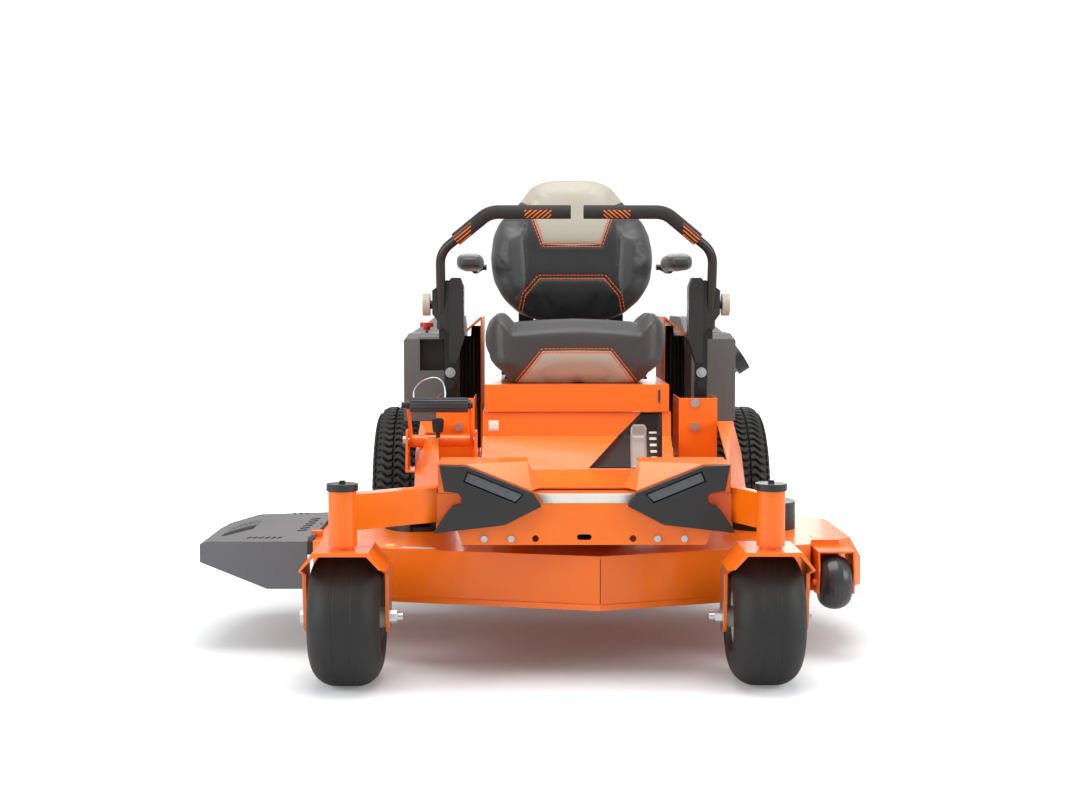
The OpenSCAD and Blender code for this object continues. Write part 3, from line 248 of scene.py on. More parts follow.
floor_paper, tree, shader, where = start_material("white_paper_floor")
shader.inputs["Base Color"].default_value = (0.74, 0.76, 0.77, 1)
shader.inputs["Roughness"].default_value = 0.9
shader.inputs["Emission Color"].default_value = (1, 1, 1, 1)
away = add(tree, "ShaderNodeVectorMath", {"operation": "MULTIPLY"}, i0=where, i1=(0.95, 0.8, 0.0))
reach = add(tree, "ShaderNodeVectorMath", {"operation": "LENGTH"}, i0=away.outputs[0])
fade = add(tree, "ShaderNodeMapRange", {"interpolation_type": "SMOOTHSTEP"},
           Value=reach.outputs["Value"], From_Min=0.55, From_Max=1.5, To_Min=0.02, To_Max=PAPER_WHITE)
only_seen = add(tree, "ShaderNodeMath", {"operation": "MULTIPLY"}, i0=fade.outputs["Result"],
                i1=add(tree, "ShaderNodeLightPath").outputs["Is Camera Ray"])
tree.links.new(only_seen.outputs[0], shader.inputs["Emission Strength"])
floor.data.materials.append(floor_paper)

# %% [markdown]
# ## Painted steel, moulded plastic, rubber and metal
# Frame, deck and forks are powder-coated: an even satin gloss over a faint orange peel a few
# millimetres wide. Fenders and covers are moulded plastic with a fine spark-eroded grain that
# kills the highlight. Bare parts are zinc-plated or cast, and rubber is nearly black and dull.

# %% Finishes of the hard pieces
orange_powder_coat = finish("orange_powder_coat", "#ee6900", "#f57302", 0.36, patch=260, grain=3.5,
                            relief=0.03, coat=0.22, dust=0.02)
black_powder_coat = finish("black_powder_coat", "#131313", "#1c1c1c", 0.36, grain=2.5, relief=0.04)
charcoal_moulding = finish("charcoal_polypropylene", "#555554", "#626261", 0.55,
                           grain=1.6, relief=0.09, dust=0.04)
# Black moulding of the black plastic parts; on the chute's ribs the same black is painted shade of the slots.
black_moulding_and_slot_shade = finish("black_abs_moulding_and_painted_slot_shade", "#1e1e1e", "#282828", 0.4, grain=1.5, relief=0.05)
chute_moulding = finish("grey_polyethylene", "#5a5a5c", "#666668", 0.5, grain=2.2, relief=0.1, dust=0.1)
roller_moulding = finish("black_nylon_roller", "#2a2a2b", "#383839", 0.3, patch=40, grain=2.0, relief=0.05)
tyre_rubber = finish("tyre_rubber", "#101010", "#1b1a19", 0.6, patch=60, grain=1.4, relief=0.12, dust=0.03)
foam_rubber = finish("foam_rubber_grip", "#1d1b19", "#282522", 0.75, patch=40, grain=1.2, relief=0.15)
zinc_plate = finish("zinc_plated_steel", "#b9bbbd", "#d2d3d2", 0.3,
                    metallic=1.0, patch=14, grain=0.8, relief=0.01)
cast_aluminium = finish("cast_aluminium", "#8d8f92", "#a6a8aa", 0.5,
                        metallic=0.9, patch=40, grain=1.6, relief=0.12)
cast_iron = finish("cast_iron", "#2c2b2a", "#3a3837", 0.6, metallic=0.6, patch=30, grain=1.6, relief=0.2)
blade_steel = finish("painted_blade_steel", "#26282a", "#3a3c3e", 0.45, metallic=0.5, patch=30, relief=0.05)
rim_paint = finish("grey_rim_enamel", "#a9a9a4", "#b8b8b2", 0.36, patch=90, grain=2.5, relief=0.02, coat=0.2)
exhaust_steel = finish("heat_stained_steel", "#5c534b", "#77726c", 0.5,
                       metallic=0.9, patch=60, grain=1.2, relief=0.05)
red_moulding = finish("red_acetal_knob", "#b01810", "#c32014", 0.3, relief=0.01)
beige_moulding = finish("beige_nylon_knob", "#a59a8a", "#b2a898", 0.5, grain=1.2, relief=0.05)
tank_moulding = finish("natural_polyethylene_neck", "#a3a3a2", "#b4b4b2", 0.45, grain=1.8, relief=0.05)
belt_rubber = finish("belt_rubber", "#141414", "#1e1e1e", 0.7, grain=0.8, relief=0.06)
smoked_lens = finish("smoked_lamp_lens", "#3a3d40", "#585c60", 0.08,
                     patch=9, relief=0.0, coat=0.8, spread=0.03)
# The dark film is the seat panel decal's own colour, and on the deck's nose it is painted shadow for the
# seam's gap.
dark_decal_and_shadow_film = finish("dark_decal_and_painted_shadow_film", "#1c1311", "#241814", 0.5, patch=120, relief=0.0, ior=1.35)
pale_film = finish("pale_decal_film", "#d8d2c8", "#e4dfd6", 0.35, patch=50, relief=0.0, coat=0.2)
yellow_film = finish("yellow_decal_film", "#f2c400", "#ffd21c", 0.35, patch=40, relief=0.0)
sight_glass = finish("clouded_sight_strip", "#8d837c", "#9b948e", 0.25, patch=30, relief=0.02, coat=0.4)

SLOT_FINISH = {
    "orange_paint": orange_powder_coat, "black_plastic": black_moulding_and_slot_shade, "clear_lens": smoked_lens,
    "charcoal_plastic": charcoal_moulding, "tank_plastic": tank_moulding, "cast_aluminium": cast_aluminium,
    "black_paint": black_powder_coat, "bare_steel": zinc_plate, "red_plastic": red_moulding,
    "tyre_rubber": tyre_rubber, "grey_rim": rim_paint, "foam_rubber": foam_rubber, "vinyl": foam_rubber,
    "cast_iron": cast_iron, "belt_rubber": belt_rubber, "chute_plastic": chute_moulding,
    "blade_steel": blade_steel,
}
NODE_FINISH = {
    "muffler": exhaust_steel, "scalp_roller": roller_moulding,
    "right_control_lever": black_powder_coat, "left_control_lever": black_powder_coat,
}


def dress(piece, *materials):
    """Gives a mesh object its materials, first one first."""
    piece.data.materials.clear()
    for material in materials:
        piece.data.materials.append(material)


for node_name, node_object in nodes.items():
    dress(node_object, NODE_FINISH.get(node_name, SLOT_FINISH[slot_of[node_name]]))

# %% [markdown]
# ## Rounded edges
# Sheet steel is folded over a radius and plastic is drafted and rounded, so no edge on the real machine is a
# knife edge, and each one catches a thin line of light. A copy of each listed node is welded, its flat
# triangles are joined into whole faces, and a Bevel modifier rounds what is left.

# %% Rounded copies


def new_piece(name, mesh, body, slot_name, *materials):
    """Links a mesh as a piece on a body, with its materials. slot_name, the record's slot, is not used."""
    piece = bpy.data.objects.new(name, mesh)
    bpy.context.scene.collection.objects.link(piece)
    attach(piece, body)
    if materials:
        dress(piece, *materials)
    return piece


def merged_copy(node_name, flat_angle=1.0):
    """A node's mesh with its doubles merged and its coplanar triangles dissolved."""
    mesh = nodes[node_name].data.copy()
    work = bmesh.new()
    work.from_mesh(mesh)
    bmesh.ops.remove_doubles(work, verts=work.verts, dist=2e-5)
    bmesh.ops.dissolve_limit(work, angle_limit=math.radians(flat_angle), verts=work.verts, edges=work.edges)
    work.to_mesh(mesh)
    work.free()
    return mesh


def rounded(node_name, radius_mm, segments=3, angle=32.0, material=None):
    """Stands a rounded copy in for a node: every edge sharper than angle gets that radius."""
    material = material or nodes[node_name].data.materials[0]
    mesh = merged_copy(node_name)
    piece = new_piece(node_name + "_rounded", mesh, body_of[node_name], slot_of[node_name], material)
    bevel = piece.modifiers.new("edge_radius", "BEVEL")
    bevel.width = radius_mm / 1000
    bevel.segments = segments
    bevel.limit_method = "ANGLE"
    bevel.angle_limit = math.radians(angle)
    bevel.use_clamp_overlap = True
    bevel.harden_normals = True
    mesh.shade_smooth()
    mesh.set_sharp_from_angle(angle=math.radians(40))
    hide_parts(node_name)
    return piece


EDGE_RADIUS = {
    "front_cowl": 1.5, "headlight_housings": 2.5, "foot_pan": 1.2, "seat_box": 1.2, "control_towers": 2.0,
    "right_fender": 7.0, "left_fender": 7.0, "right_fork": 3.0, "left_fork": 3.0, "front_axle": 3.0,
    "right_shroud": 3.0, "left_shroud": 3.0, "seat_pan": 1.5, "deck_shell": 1.5, "discharge_chute": 4.0,
    "blower_housing": 3.0, "lift_pedal": 1.0,
}
round_pieces = {name: rounded(name, radius) for name, radius in EDGE_RADIUS.items()}


def second_finish(piece, material, chosen):
    """Gives a second material to the faces whose centres, in mm, chosen(x, y, z) picks."""
    piece.data.materials.append(material)
    centres = np.empty(len(piece.data.polygons) * 3)
    piece.data.polygons.foreach_get("center", centres)
    x, y, z = millimetres(centres.reshape(-1, 3)).T
    index = np.where(chosen(x, y, z), len(piece.data.materials) - 1, 0)
    piece.data.polygons.foreach_set("material_index", index.astype(np.int32))
    print(piece.name, int(index.astype(bool).sum()), "faces in", material.name)


for side, sign in (("right", -1), ("left", 1)):
    fork_x = (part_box(side + "_caster_tyre")[0].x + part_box(side + "_caster_tyre")[1].x) / 2
    fork_x = (fork_x - AXLE[0]) * 1000
    second_finish(round_pieces[side + "_fork"], zinc_plate,
                  lambda x, y, z: (np.abs(x - fork_x) > 86) & (z > 110) & (z < 170))
    second_finish(round_pieces[side + "_shroud"], beige_moulding, lambda x, y, z: np.abs(x) > 348)
print("rounded:", len(round_pieces), "pieces")

# %% [markdown]
# ## Surfaces from two parameters
# Tyres, pads and hoses are all sheets of points: one parameter runs round a section and the other
# along a path. A single helper joins such a grid into quads and closes it where it meets itself.

# %% Grid meshes


def face_outwards(mesh, merge=False):
    """Turns every face outwards and shades smooth; merge joins points that share a place."""
    work = bmesh.new()
    work.from_mesh(mesh)
    if merge:
        bmesh.ops.remove_doubles(work, verts=work.verts, dist=1e-6)
    bmesh.ops.recalc_face_normals(work, faces=work.faces)
    work.to_mesh(mesh)
    work.free()
    mesh.shade_smooth()


def grid_mesh(name, points_mm, close_rows=False, close_cols=False, smooth_angle=40.0):
    """Quads between neighbouring points of a (rows, cols, 3) array, in millimetres from the axle."""
    rows, cols = points_mm.shape[:2]
    index = np.arange(rows * cols).reshape(rows, cols)
    if close_rows:
        index = np.vstack([index, index[:1]])
    if close_cols:
        index = np.hstack([index, index[:, :1]])
    quads = np.stack([index[:-1, :-1], index[1:, :-1], index[1:, 1:], index[:-1, 1:]], axis=-1).reshape(-1, 4)
    mesh = bpy.data.meshes.new(name)
    mesh.from_pydata(metres(points_mm.reshape(-1, 3)), [], quads.tolist())
    face_outwards(mesh, merge=True)
    mesh.set_sharp_from_angle(angle=math.radians(smooth_angle))
    return mesh


def smooth_step(x, low, high):
    """0 below low, 1 above high, and a smooth cubic between."""
    t = np.clip((x - low) / (high - low), 0, 1)
    return t * t * (3 - 2 * t)


# %% [markdown]
# ## Tyres
# A tyre is a closed section turned about its axle. The section's crown carries the tread as a
# height that depends on the place across and around: staggered turf blocks on the drive tyres,
# and shallow running grooves on the casters, whose smooth face slides sideways over grass.

# %% Tyre sections


def tyre_profile(radius, width, rim_radius, shoulder, count):
    """Points (radius, across) of half a section mirrored: bead, bulging wall, shoulder arc, crown."""
    half = width / 2
    bead = half * 0.80
    wall_angle = np.linspace(-80, 0, count // 4)
    wall_r = radius - shoulder
    rise = 1 + np.sin(np.radians(wall_angle)) / math.sin(math.radians(80))
    wall = np.stack([rim_radius + 6 + (wall_r - rim_radius - 6) * rise,
                     bead + (half - bead) * np.cos(np.radians(wall_angle))], 1)
    turn = np.radians(np.linspace(0, 90, count // 4))[1:]
    arc = np.stack([wall_r + shoulder * np.sin(turn), half - shoulder + shoulder * np.cos(turn)], 1)
    crown_across = np.linspace(half - shoulder, 0, count // 2 + 1)[1:]
    crown = np.stack([np.full(count // 2, float(radius)), crown_across], 1)
    side = np.vstack([[[rim_radius, bead - 6], [rim_radius, bead]], wall, arc, crown])
    return np.vstack([side, side[-2::-1] * [1, -1]])


def turned_tyre(name, node_name, radius, width, rim_radius, shoulder, tread, around, across):
    """Turns the section about X. tread(angle, across) is how far each point sinks below the crown."""
    low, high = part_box(node_name)
    centre = millimetres((np.array(low) + np.array(high)) / 2)
    section = tyre_profile(radius, width, rim_radius, shoulder, across)
    angle = np.linspace(0, 2 * math.pi, around, endpoint=False)
    a, r = np.meshgrid(angle, section[:, 0], indexing="ij")
    w = np.broadcast_to(section[:, 1], a.shape)
    sunk = tread(a, w, r) * smooth_step(r, radius - shoulder * 1.25, radius - shoulder * 0.8)
    r = r - sunk
    points = np.stack([centre[0] + w, centre[1] + r * np.cos(a), centre[2] + r * np.sin(a)], -1)
    mesh = grid_mesh(name, points, close_rows=True, close_cols=True)
    piece = new_piece(name, mesh, body_of[node_name], "tyre_rubber", tyre_rubber)
    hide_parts(node_name)
    return piece


def turf_tread(a, w, r):
    """Wavy turf bars: rows 46 mm wide, 72 bars round each, parted by grooves that snake as a sine."""
    row_width, bars, depth = 46.0, 72, 7.5
    row = np.floor(w / row_width)
    inside = w / row_width - row
    phase = a * bars / (2 * math.pi) + 0.34 * np.sin(2 * math.pi * inside) + 0.5 * (row % 2)
    pitch = 2 * math.pi * 244 / bars
    along = np.abs(phase - np.floor(phase) - 0.5) * pitch
    across = np.abs(inside - 0.5) * row_width
    cut_along = smooth_step(along, pitch / 2 - 4.2, pitch / 2 - 2.2)
    cut_across = smooth_step(across, row_width / 2 - 3.2, row_width / 2 - 1.2)
    return depth * np.maximum(cut_along, cut_across) + 0.4


def smooth_tread(a, w, r):
    """Depth in mm of two faint grooves that run round the caster's nearly slick face."""
    return 0.8 * smooth_step(-np.abs(np.abs(w) - 17), -1.8, -0.6) + 0.3


for side in ("right", "left"):
    turned_tyre(side + "_turf_tyre", side + "_drive_tyre", 244, 208, 104, 42, turf_tread, 720, 64)
    turned_tyre(side + "_smooth_tyre", side + "_caster_tyre", 139.6, 146, 63.5, 52, smooth_tread, 160, 64)

# %% [markdown]
# ## Upholstery
# The seat is moulded foam under stitched vinyl. Each pad starts as a closed, crowned form: a
# rounded box whose section swells and whose bolsters rise at the sides. A cloth simulation with
# a little air pressure then blows the cover outwards between its edges, as foam pushes a tight
# cover, with a limit on how far any point may move. Sewn channels are pressed in afterwards.

# %% Crowned pads


def power(x, e):
    """Signed power: keeps the sign of x and raises its size to e, which squares off a circle."""
    return np.sign(x) * np.abs(x) ** e


def pad_grid(centre, halves, plan, crown, rows=64, cols=128):
    """A superellipsoid: circles of latitude and longitude, each squared off by a power."""
    v = np.linspace(-math.pi / 2, math.pi / 2, rows)[:, None]
    u = np.linspace(0, 2 * math.pi, cols, endpoint=False)[None, :]
    x = power(np.cos(v), crown) * power(np.cos(u), plan)
    y = power(np.cos(v), crown) * power(np.sin(u), plan)
    z = power(np.sin(v), crown) + 0 * u
    return np.stack([x, y, z], -1) * halves + centre


def read_points(mesh):
    """Vertex places as an (n, 3) array in metres."""
    points = np.empty(len(mesh.vertices) * 3)
    mesh.vertices.foreach_get("co", points)
    return points.reshape(-1, 3)


def write_points(mesh, points):
    """Puts an (n, 3) array in metres back into a mesh."""
    mesh.vertices.foreach_set("co", np.ascontiguousarray(points, dtype=np.float32).ravel())
    mesh.update()


def plump(piece, cap_mm, voxel_mm=6.0, pressure=4.0, frames=20):
    """Remeshes a pad evenly, blows it up as cloth and keeps each point within cap of where it was."""
    remesh = piece.modifiers.new("even_cover", "REMESH")
    remesh.mode = "VOXEL"
    remesh.voxel_size = voxel_mm / 1000
    graph = bpy.context.evaluated_depsgraph_get()
    even = bpy.data.meshes.new_from_object(piece.evaluated_get(graph))
    piece.modifiers.clear()
    piece.data = even
    before = read_points(even)
    cloth = piece.modifiers.new("cover", "CLOTH")
    cloth.settings.use_pressure = True
    cloth.settings.uniform_pressure_force = pressure
    cloth.settings.effector_weights.gravity = 0
    cloth.settings.quality = 5
    for frame_number in range(1, frames + 1):
        bpy.context.scene.frame_set(frame_number)
    graph = bpy.context.evaluated_depsgraph_get()
    blown = piece.evaluated_get(graph).to_mesh()
    after = read_points(blown)
    piece.evaluated_get(graph).to_mesh_clear()
    piece.modifiers.clear()
    bpy.context.scene.frame_set(1)
    step = after - before
    size = np.linalg.norm(step, axis=1, keepdims=True)
    step *= np.minimum(1, cap_mm / 1000 / np.maximum(size, 1e-9))
    write_points(even, before + step)
    print(piece.name, "swelled by up to", round(float(size.max() * 1000), 1), "mm before the limit")
    even.shade_smooth()


def press_channels(piece, depth_of, direction):
    """Moves points along direction by depth_of(points in mm), which is how a sewn line sinks."""
    points = read_points(piece.data)
    depth = depth_of(millimetres(points)) / 1000
    write_points(piece.data, points + depth[:, None] * np.asarray(direction, float))


def near_path(points_xz, path_xz):
    """Distance in mm of each point to a path of straight legs, both seen from the front."""
    best = np.full(len(points_xz), 1e9)
    for a, b in zip(path_xz[:-1], path_xz[1:]):
        a, b = np.asarray(a, float), np.asarray(b, float)
        along = np.clip(((points_xz - a) @ (b - a)) / ((b - a) @ (b - a)), 0, 1)
        best = np.minimum(best, np.linalg.norm(points_xz - a - along[:, None] * (b - a), axis=1))
    return best


def finish_pad(piece, levels=1):
    """One level of subdivision on the finished cover."""
    smooth = piece.modifiers.new("smooth_cover", "SUBSURF")
    smooth.levels = smooth.render_levels = levels


CUSHION_SEAM = [(-143, 586), (-80, 664), (80, 664), (143, 586)]
BACK_SEAM = [(-160, 1052), (-114, 1032), (-76, 926), (76, 926), (114, 1032), (160, 1052)]
LUMBAR_SEAM = [(-138, 735), (-126, 795), (-86, 842), (86, 842), (126, 795), (138, 735)]

# %% [markdown]
# The vinyl is one material per pad: black-brown panels and a beige insert, parted where the seams
# run. The parting is worked out from the place on the pad, so its line stays sharp at any distance.

# %% Vinyl with an insert


def inside_band(tree, x, z, knots):
    """1 where abs(x) is below a width that follows height through (height, width) knots, in metres."""
    curve = add(tree, "ShaderNodeFloatCurve")
    lows, highs = knots[0][0], knots[-1][0]
    widest = max(width for _, width in knots)
    span = add(tree, "ShaderNodeMapRange", Value=z, From_Min=lows, From_Max=highs)
    tree.links.new(span.outputs["Result"], curve.inputs["Value"])
    points = curve.mapping.curves[0].points
    for spot, (height, width) in zip(points, (knots[0], knots[-1])):
        spot.location = ((height - lows) / (highs - lows), width / widest)
        spot.handle_type = "VECTOR"
    for height, width in knots[1:-1]:
        spot = points.new((height - lows) / (highs - lows), width / widest)
        spot.handle_type = "VECTOR"
    curve.mapping.update()
    limit = add(tree, "ShaderNodeMath", {"operation": "MULTIPLY"}, i0=curve.outputs["Value"], i1=widest)
    side = add(tree, "ShaderNodeMath", {"operation": "ABSOLUTE"}, i0=x)
    below = add(tree, "ShaderNodeMath", {"operation": "LESS_THAN"}, i0=side.outputs[0], i1=limit.outputs[0])
    return below.outputs[0]


def vinyl(name, main, insert_colour=None, insert_knots=None, dark_colour=None, dark_knots=None):
    """Grained vinyl: leather pebbles of 2 mm, a gloss that drifts a little at random, with inserts."""
    material, tree, shader, where = start_material(name)
    offset = add(tree, "ShaderNodeVectorMath", {"operation": "SUBTRACT"}, i0=where,
                 i1=tuple(float(t) for t in AXLE))
    parts = add(tree, "ShaderNodeSeparateXYZ", Vector=offset.outputs[0])
    x, z = parts.outputs["X"], parts.outputs["Z"]
    drift = add(tree, "ShaderNodeTexNoise", Vector=where, Scale=per_mm(70), Detail=4.0)
    base = add(tree, "ShaderNodeMix", {"data_type": "RGBA"}, Factor=drift.outputs["Fac"],
               A=linear(main[0]), B=linear(main[1]))
    colour = base.outputs["Result"]
    for shade, knots in ((dark_colour, dark_knots), (insert_colour, insert_knots)):
        if knots:
            mask = inside_band(tree, x, z, [(h / 1000, w / 1000) for h, w in knots])
            over = add(tree, "ShaderNodeMix", {"data_type": "RGBA"}, Factor=mask, A=colour,
                       B=linear(shade))
            colour = over.outputs["Result"]
    tree.links.new(colour, shader.inputs["Base Color"])
    wear = add(tree, "ShaderNodeTexNoise", Vector=where, Scale=per_mm(45), Detail=3.0)
    gloss = add(tree, "ShaderNodeMapRange", Value=wear.outputs["Fac"], To_Min=0.34, To_Max=0.5)
    tree.links.new(gloss.outputs["Result"], shader.inputs["Roughness"])
    pebbles = add(tree, "ShaderNodeTexVoronoi", {"feature": "DISTANCE_TO_EDGE"}, Vector=where,
                  Scale=per_mm(2.2))
    folds = add(tree, "ShaderNodeTexNoise", Vector=where, Scale=per_mm(26), Detail=2.0)
    height = add(tree, "ShaderNodeMath", {"operation": "MULTIPLY_ADD"}, i0=folds.outputs["Fac"], i1=0.9,
                 i2=pebbles.outputs["Distance"])
    bump = add(tree, "ShaderNodeBump", Strength=0.5, Distance=0.0006, Height=height.outputs[0])
    tree.links.new(bump.outputs["Normal"], shader.inputs["Normal"])
    shader.inputs["Sheen Weight"].default_value = 0.15
    return material


VINYL = ("#302f2f", "#3b3a3a")
BEIGE = "#a39c8e"
cushion_vinyl = vinyl("seat_vinyl_cushion", VINYL, BEIGE, [(585, 143), (664, 80), (664.5, 0), (790, 0)])
back_vinyl = vinyl("seat_vinyl_back", VINYL, BEIGE,
                   [(700, 0), (925.5, 0), (926, 76), (1032, 114), (1052, 165), (1110, 260)],
                   "#141414", [(720, 138), (795, 126), (842, 120), (940, 126), (960, 118), (1030, 106),
                               (1031, 0), (1110, 0)])
arm_vinyl = vinyl("seat_vinyl_armrest", ("#2e2e2f", "#3a3a3b"))
thread_orange = finish("polyester_thread_orange", "#d9500a", "#f0640f", 0.6, relief=0.0)

# %% Cushion
points = pad_grid((0, -418, 662), (215, 218, 62), 0.30, 0.34, 72, 144)
x, y, z = points[..., 0], points[..., 1], points[..., 2]
top = smooth_step(z, 650, 700)
z = z + top * 34 * smooth_step(np.abs(x), 138, 196) * smooth_step(-y, 200, 330)
z = z - 14 * smooth_step(-y, 584, 602) * smooth_step(-z, -650, -615)
z = z + top * 6 * np.cos(np.clip(np.abs(x) / 120, 0, 1) * math.pi / 2)
z = z - top * 10 * smooth_step(y, -420, -200)
x = x * (1 - 0.10 * smooth_step(-z, -650, -605))
y = np.where(y < -418, y + 14 * smooth_step(-z, -650, -600), y)
mesh = grid_mesh("cushion_cover", np.stack([x, y, z], -1), close_cols=True)
cushion = new_piece("seat_cushion_cover", mesh, "seat", "vinyl", cushion_vinyl)
plump(cushion, 7)


def cushion_channels(p):
    """Sewn lines sink 5 mm beside the bolsters on top and 3 mm round the front insert."""
    on_top = smooth_step(p[:, 2], 690, 715)
    bolster = 6 * np.exp(-((np.abs(p[:, 0]) - 150) / 7) ** 2) * on_top
    cross = 4 * np.exp(-((p[:, 1] + 520) / 7) ** 2) * on_top * (np.abs(p[:, 0]) < 150)
    return -(bolster + cross)


press_channels(cushion, cushion_channels, (0, 0, 1))
press_channels(cushion, lambda p: 3.0 * np.exp(-(near_path(p[:, [0, 2]], CUSHION_SEAM) / 5) ** 2)
               * smooth_step(-p[:, 1], 560, 600), (0, 1, 0))
finish_pad(cushion)
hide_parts("seat_cushion")

# %% Backrest
BACK_OUTLINE = np.array([[718, 150], [740, 186], [780, 208], [830, 222], [890, 225], [950, 219], [985, 207],
                         [1015, 186], [1040, 164], [1060, 154], [1085, 147], [1104, 128], [1108, 112]], float)


def back_grid(rows=96, cols=144):
    """Rings at each height: half-widths follow the outline, the middle leans back, bolsters come forward."""
    v = np.linspace(-math.pi / 2, math.pi / 2, rows)[:, None]
    u = np.linspace(0, 2 * math.pi, cols, endpoint=False)[None, :]
    z = 911 + 193 * power(np.sin(v), 0.85) + 0 * u
    half = np.interp(z, BACK_OUTLINE[:, 0], BACK_OUTLINE[:, 1]) - 6
    closing = power(np.cos(v), 0.38)
    lean = np.interp(z, [718, 800, 1000, 1108], [-168, -164, -138, -128])
    depth = np.interp(z, [718, 820, 980, 1108], [52, 58, 48, 34]) * closing
    x = half * closing * power(np.cos(u), 0.62)
    y = lean + depth * power(np.sin(u), 0.72)
    front = smooth_step(-np.sin(u) + 0 * v, 0.0, 0.6)
    wing = smooth_step(np.abs(x) / half, 0.52, 0.86) * (1 - smooth_step(z, 930, 1000))
    y = y - 20 * wing * front * closing
    middle = (1 - smooth_step(np.abs(x) / half, 0.3, 0.55)) * (1 - smooth_step(z, 900, 960))
    y = y + 7 * front * middle * closing
    return np.stack([x, y, z], -1)


mesh = grid_mesh("back_cover", back_grid(), close_cols=True)
backrest = new_piece("seat_back_cover", mesh, "seat", "vinyl", back_vinyl)
plump(backrest, 7)


def back_channels(p):
    """Front sewn lines sink 4 mm round the inserts and where the bolsters join."""
    facing = smooth_step(-p[:, 1], 150, 170)
    seams = np.minimum(near_path(p[:, [0, 2]], BACK_SEAM), near_path(p[:, [0, 2]], LUMBAR_SEAM))
    inner = np.abs(np.abs(p[:, 0]) - np.interp(p[:, 2], [795, 842, 940, 1030], [126, 120, 126, 106]))
    inner = np.where((p[:, 2] > 800) & (p[:, 2] < 1028), inner, 99)
    return 4.5 * np.exp(-(np.minimum(seams, inner) / 5) ** 2) * facing


press_channels(backrest, back_channels, (0, 1, 0))
finish_pad(backrest)
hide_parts("seat_back")

# %% [markdown]
# ## Thread
# Two rows of thick orange thread run along each insert. Every stitch is a small six-sided rod laid
# on the cover: a ray from the front finds the surface, and the next stitch gives its direction.

# %% Stitches


def surface_of(piece):
    """A search tree of a piece's finished surface, so that rays can find it."""
    graph = bpy.context.evaluated_depsgraph_get()
    graph.update()
    return BVHTree.FromObject(piece, graph)


def along(path, pitch):
    """Points every pitch mm along a path of straight legs."""
    path = np.asarray(path, float)
    legs = np.linalg.norm(np.diff(path, axis=0), axis=1)
    total = np.concatenate([[0], np.cumsum(legs)])
    at = np.arange(0, total[-1], pitch)
    return np.stack([np.interp(at, total, path[:, i]) for i in range(path.shape[1])], 1)


def rods(name, starts, ends, radius, sides=6):
    """Six-sided rods between pairs of points in mm: two rings each, joined and capped."""
    starts, ends = np.asarray(starts, float), np.asarray(ends, float)
    d = ends - starts
    d /= np.linalg.norm(d, axis=1, keepdims=True)
    across = np.cross(d, [0, 0.3, 1.0])
    across /= np.linalg.norm(across, axis=1, keepdims=True)
    other = np.cross(d, across)
    angle = np.linspace(0, 2 * math.pi, sides, endpoint=False)
    cosine, sine = np.cos(angle)[None, :, None], np.sin(angle)[None, :, None]
    ring = radius * (across[:, None] * cosine + other[:, None] * sine)
    points = np.concatenate([starts[:, None] + ring, ends[:, None] + ring], 1)
    count = len(starts)
    base = np.arange(count)[:, None] * 2 * sides
    k = np.arange(sides)
    nxt = (k + 1) % sides
    quads = np.stack([k, nxt, nxt + sides, k + sides], -1)[None] + base[:, :, None]
    faces = quads.reshape(-1, 4).tolist()
    faces += [[int(b + i) for i in range(sides)][::-1] for b in base[:, 0]]
    faces += [[int(b + sides + i) for i in range(sides)] for b in base[:, 0]]
    mesh = bpy.data.meshes.new(name)
    mesh.from_pydata(metres(points.reshape(-1, 3)), [], faces)
    face_outwards(mesh)
    return mesh


def stitch_rows(name, cover, path_xz, offsets=(-4.5, 4.5), pitch=9.0, length=7.5, radius=1.25):
    """Lays stitches on a cover beside a path seen from the front."""
    tree = surface_of(cover)
    starts, ends = [], []
    for offset in offsets:
        spots = along(path_xz, pitch)
        d = np.gradient(spots, axis=0)
        d /= np.linalg.norm(d, axis=1, keepdims=True)
        row = spots + offset * np.stack([-d[:, 1], d[:, 0]], 1)
        for (x0, z0), (dx, dz) in zip(row, d):
            pair = []
            for t in (-length / 2, length / 2):
                origin = Vector(metres([x0 + dx * t, -2000, z0 + dz * t]))
                hit, normal, _, _ = tree.ray_cast(origin, Vector((0, 1, 0)))
                if hit is not None:
                    pair.append(millimetres(np.array(hit + normal * 0.0002)))
            if len(pair) == 2 and np.linalg.norm(pair[0] - pair[1]) < 2 * length:
                starts.append(pair[0])
                ends.append(pair[1])
    piece = new_piece(name, rods(name, starts, ends, radius), body_of["seat_cushion"], "vinyl", thread_orange)
    print(name, len(starts), "stitches")
    return piece


stitch_rows("cushion_stitching", cushion, CUSHION_SEAM)
stitch_rows("back_stitching", backrest, BACK_SEAM[1:-1])
stitch_rows("lumbar_stitching", backrest, LUMBAR_SEAM)

# %% [markdown]
# ## Armrests
# A slim vinyl pad on a bent steel tube. The pad is crowned like the cushion; the tube is a circle
# carried along a curve, each ring turned to face the way the curve runs.

# %% Tubes and armrests


def tube_mesh(name, path_mm, radius, sides=16, closed=False):
    """A circle of points carried along a smooth path; the first ring's side is passed on along it."""
    path = np.asarray(path_mm, float)
    d = np.gradient(path, axis=0)
    d /= np.linalg.norm(d, axis=1, keepdims=True)
    side = np.cross(d[0], [0.13, 0.21, 0.97])
    sides_along = []
    for step in d:
        side = side - step * (side @ step)
        side /= np.linalg.norm(side)
        sides_along.append(side)
    s1 = np.array(sides_along)
    s2 = np.cross(d, s1)
    angle = np.linspace(0, 2 * math.pi, sides, endpoint=False)
    r = np.broadcast_to(np.asarray(radius, float), (len(path),))[:, None, None]
    cosine, sine = np.cos(angle)[None, :, None], np.sin(angle)[None, :, None]
    rings = path[:, None] + r * (s1[:, None] * cosine + s2[:, None] * sine)
    rings = np.concatenate([np.repeat(path[:1, None], sides, 1), rings, np.repeat(path[-1:, None], sides, 1)])
    return grid_mesh(name, rings, close_cols=True)


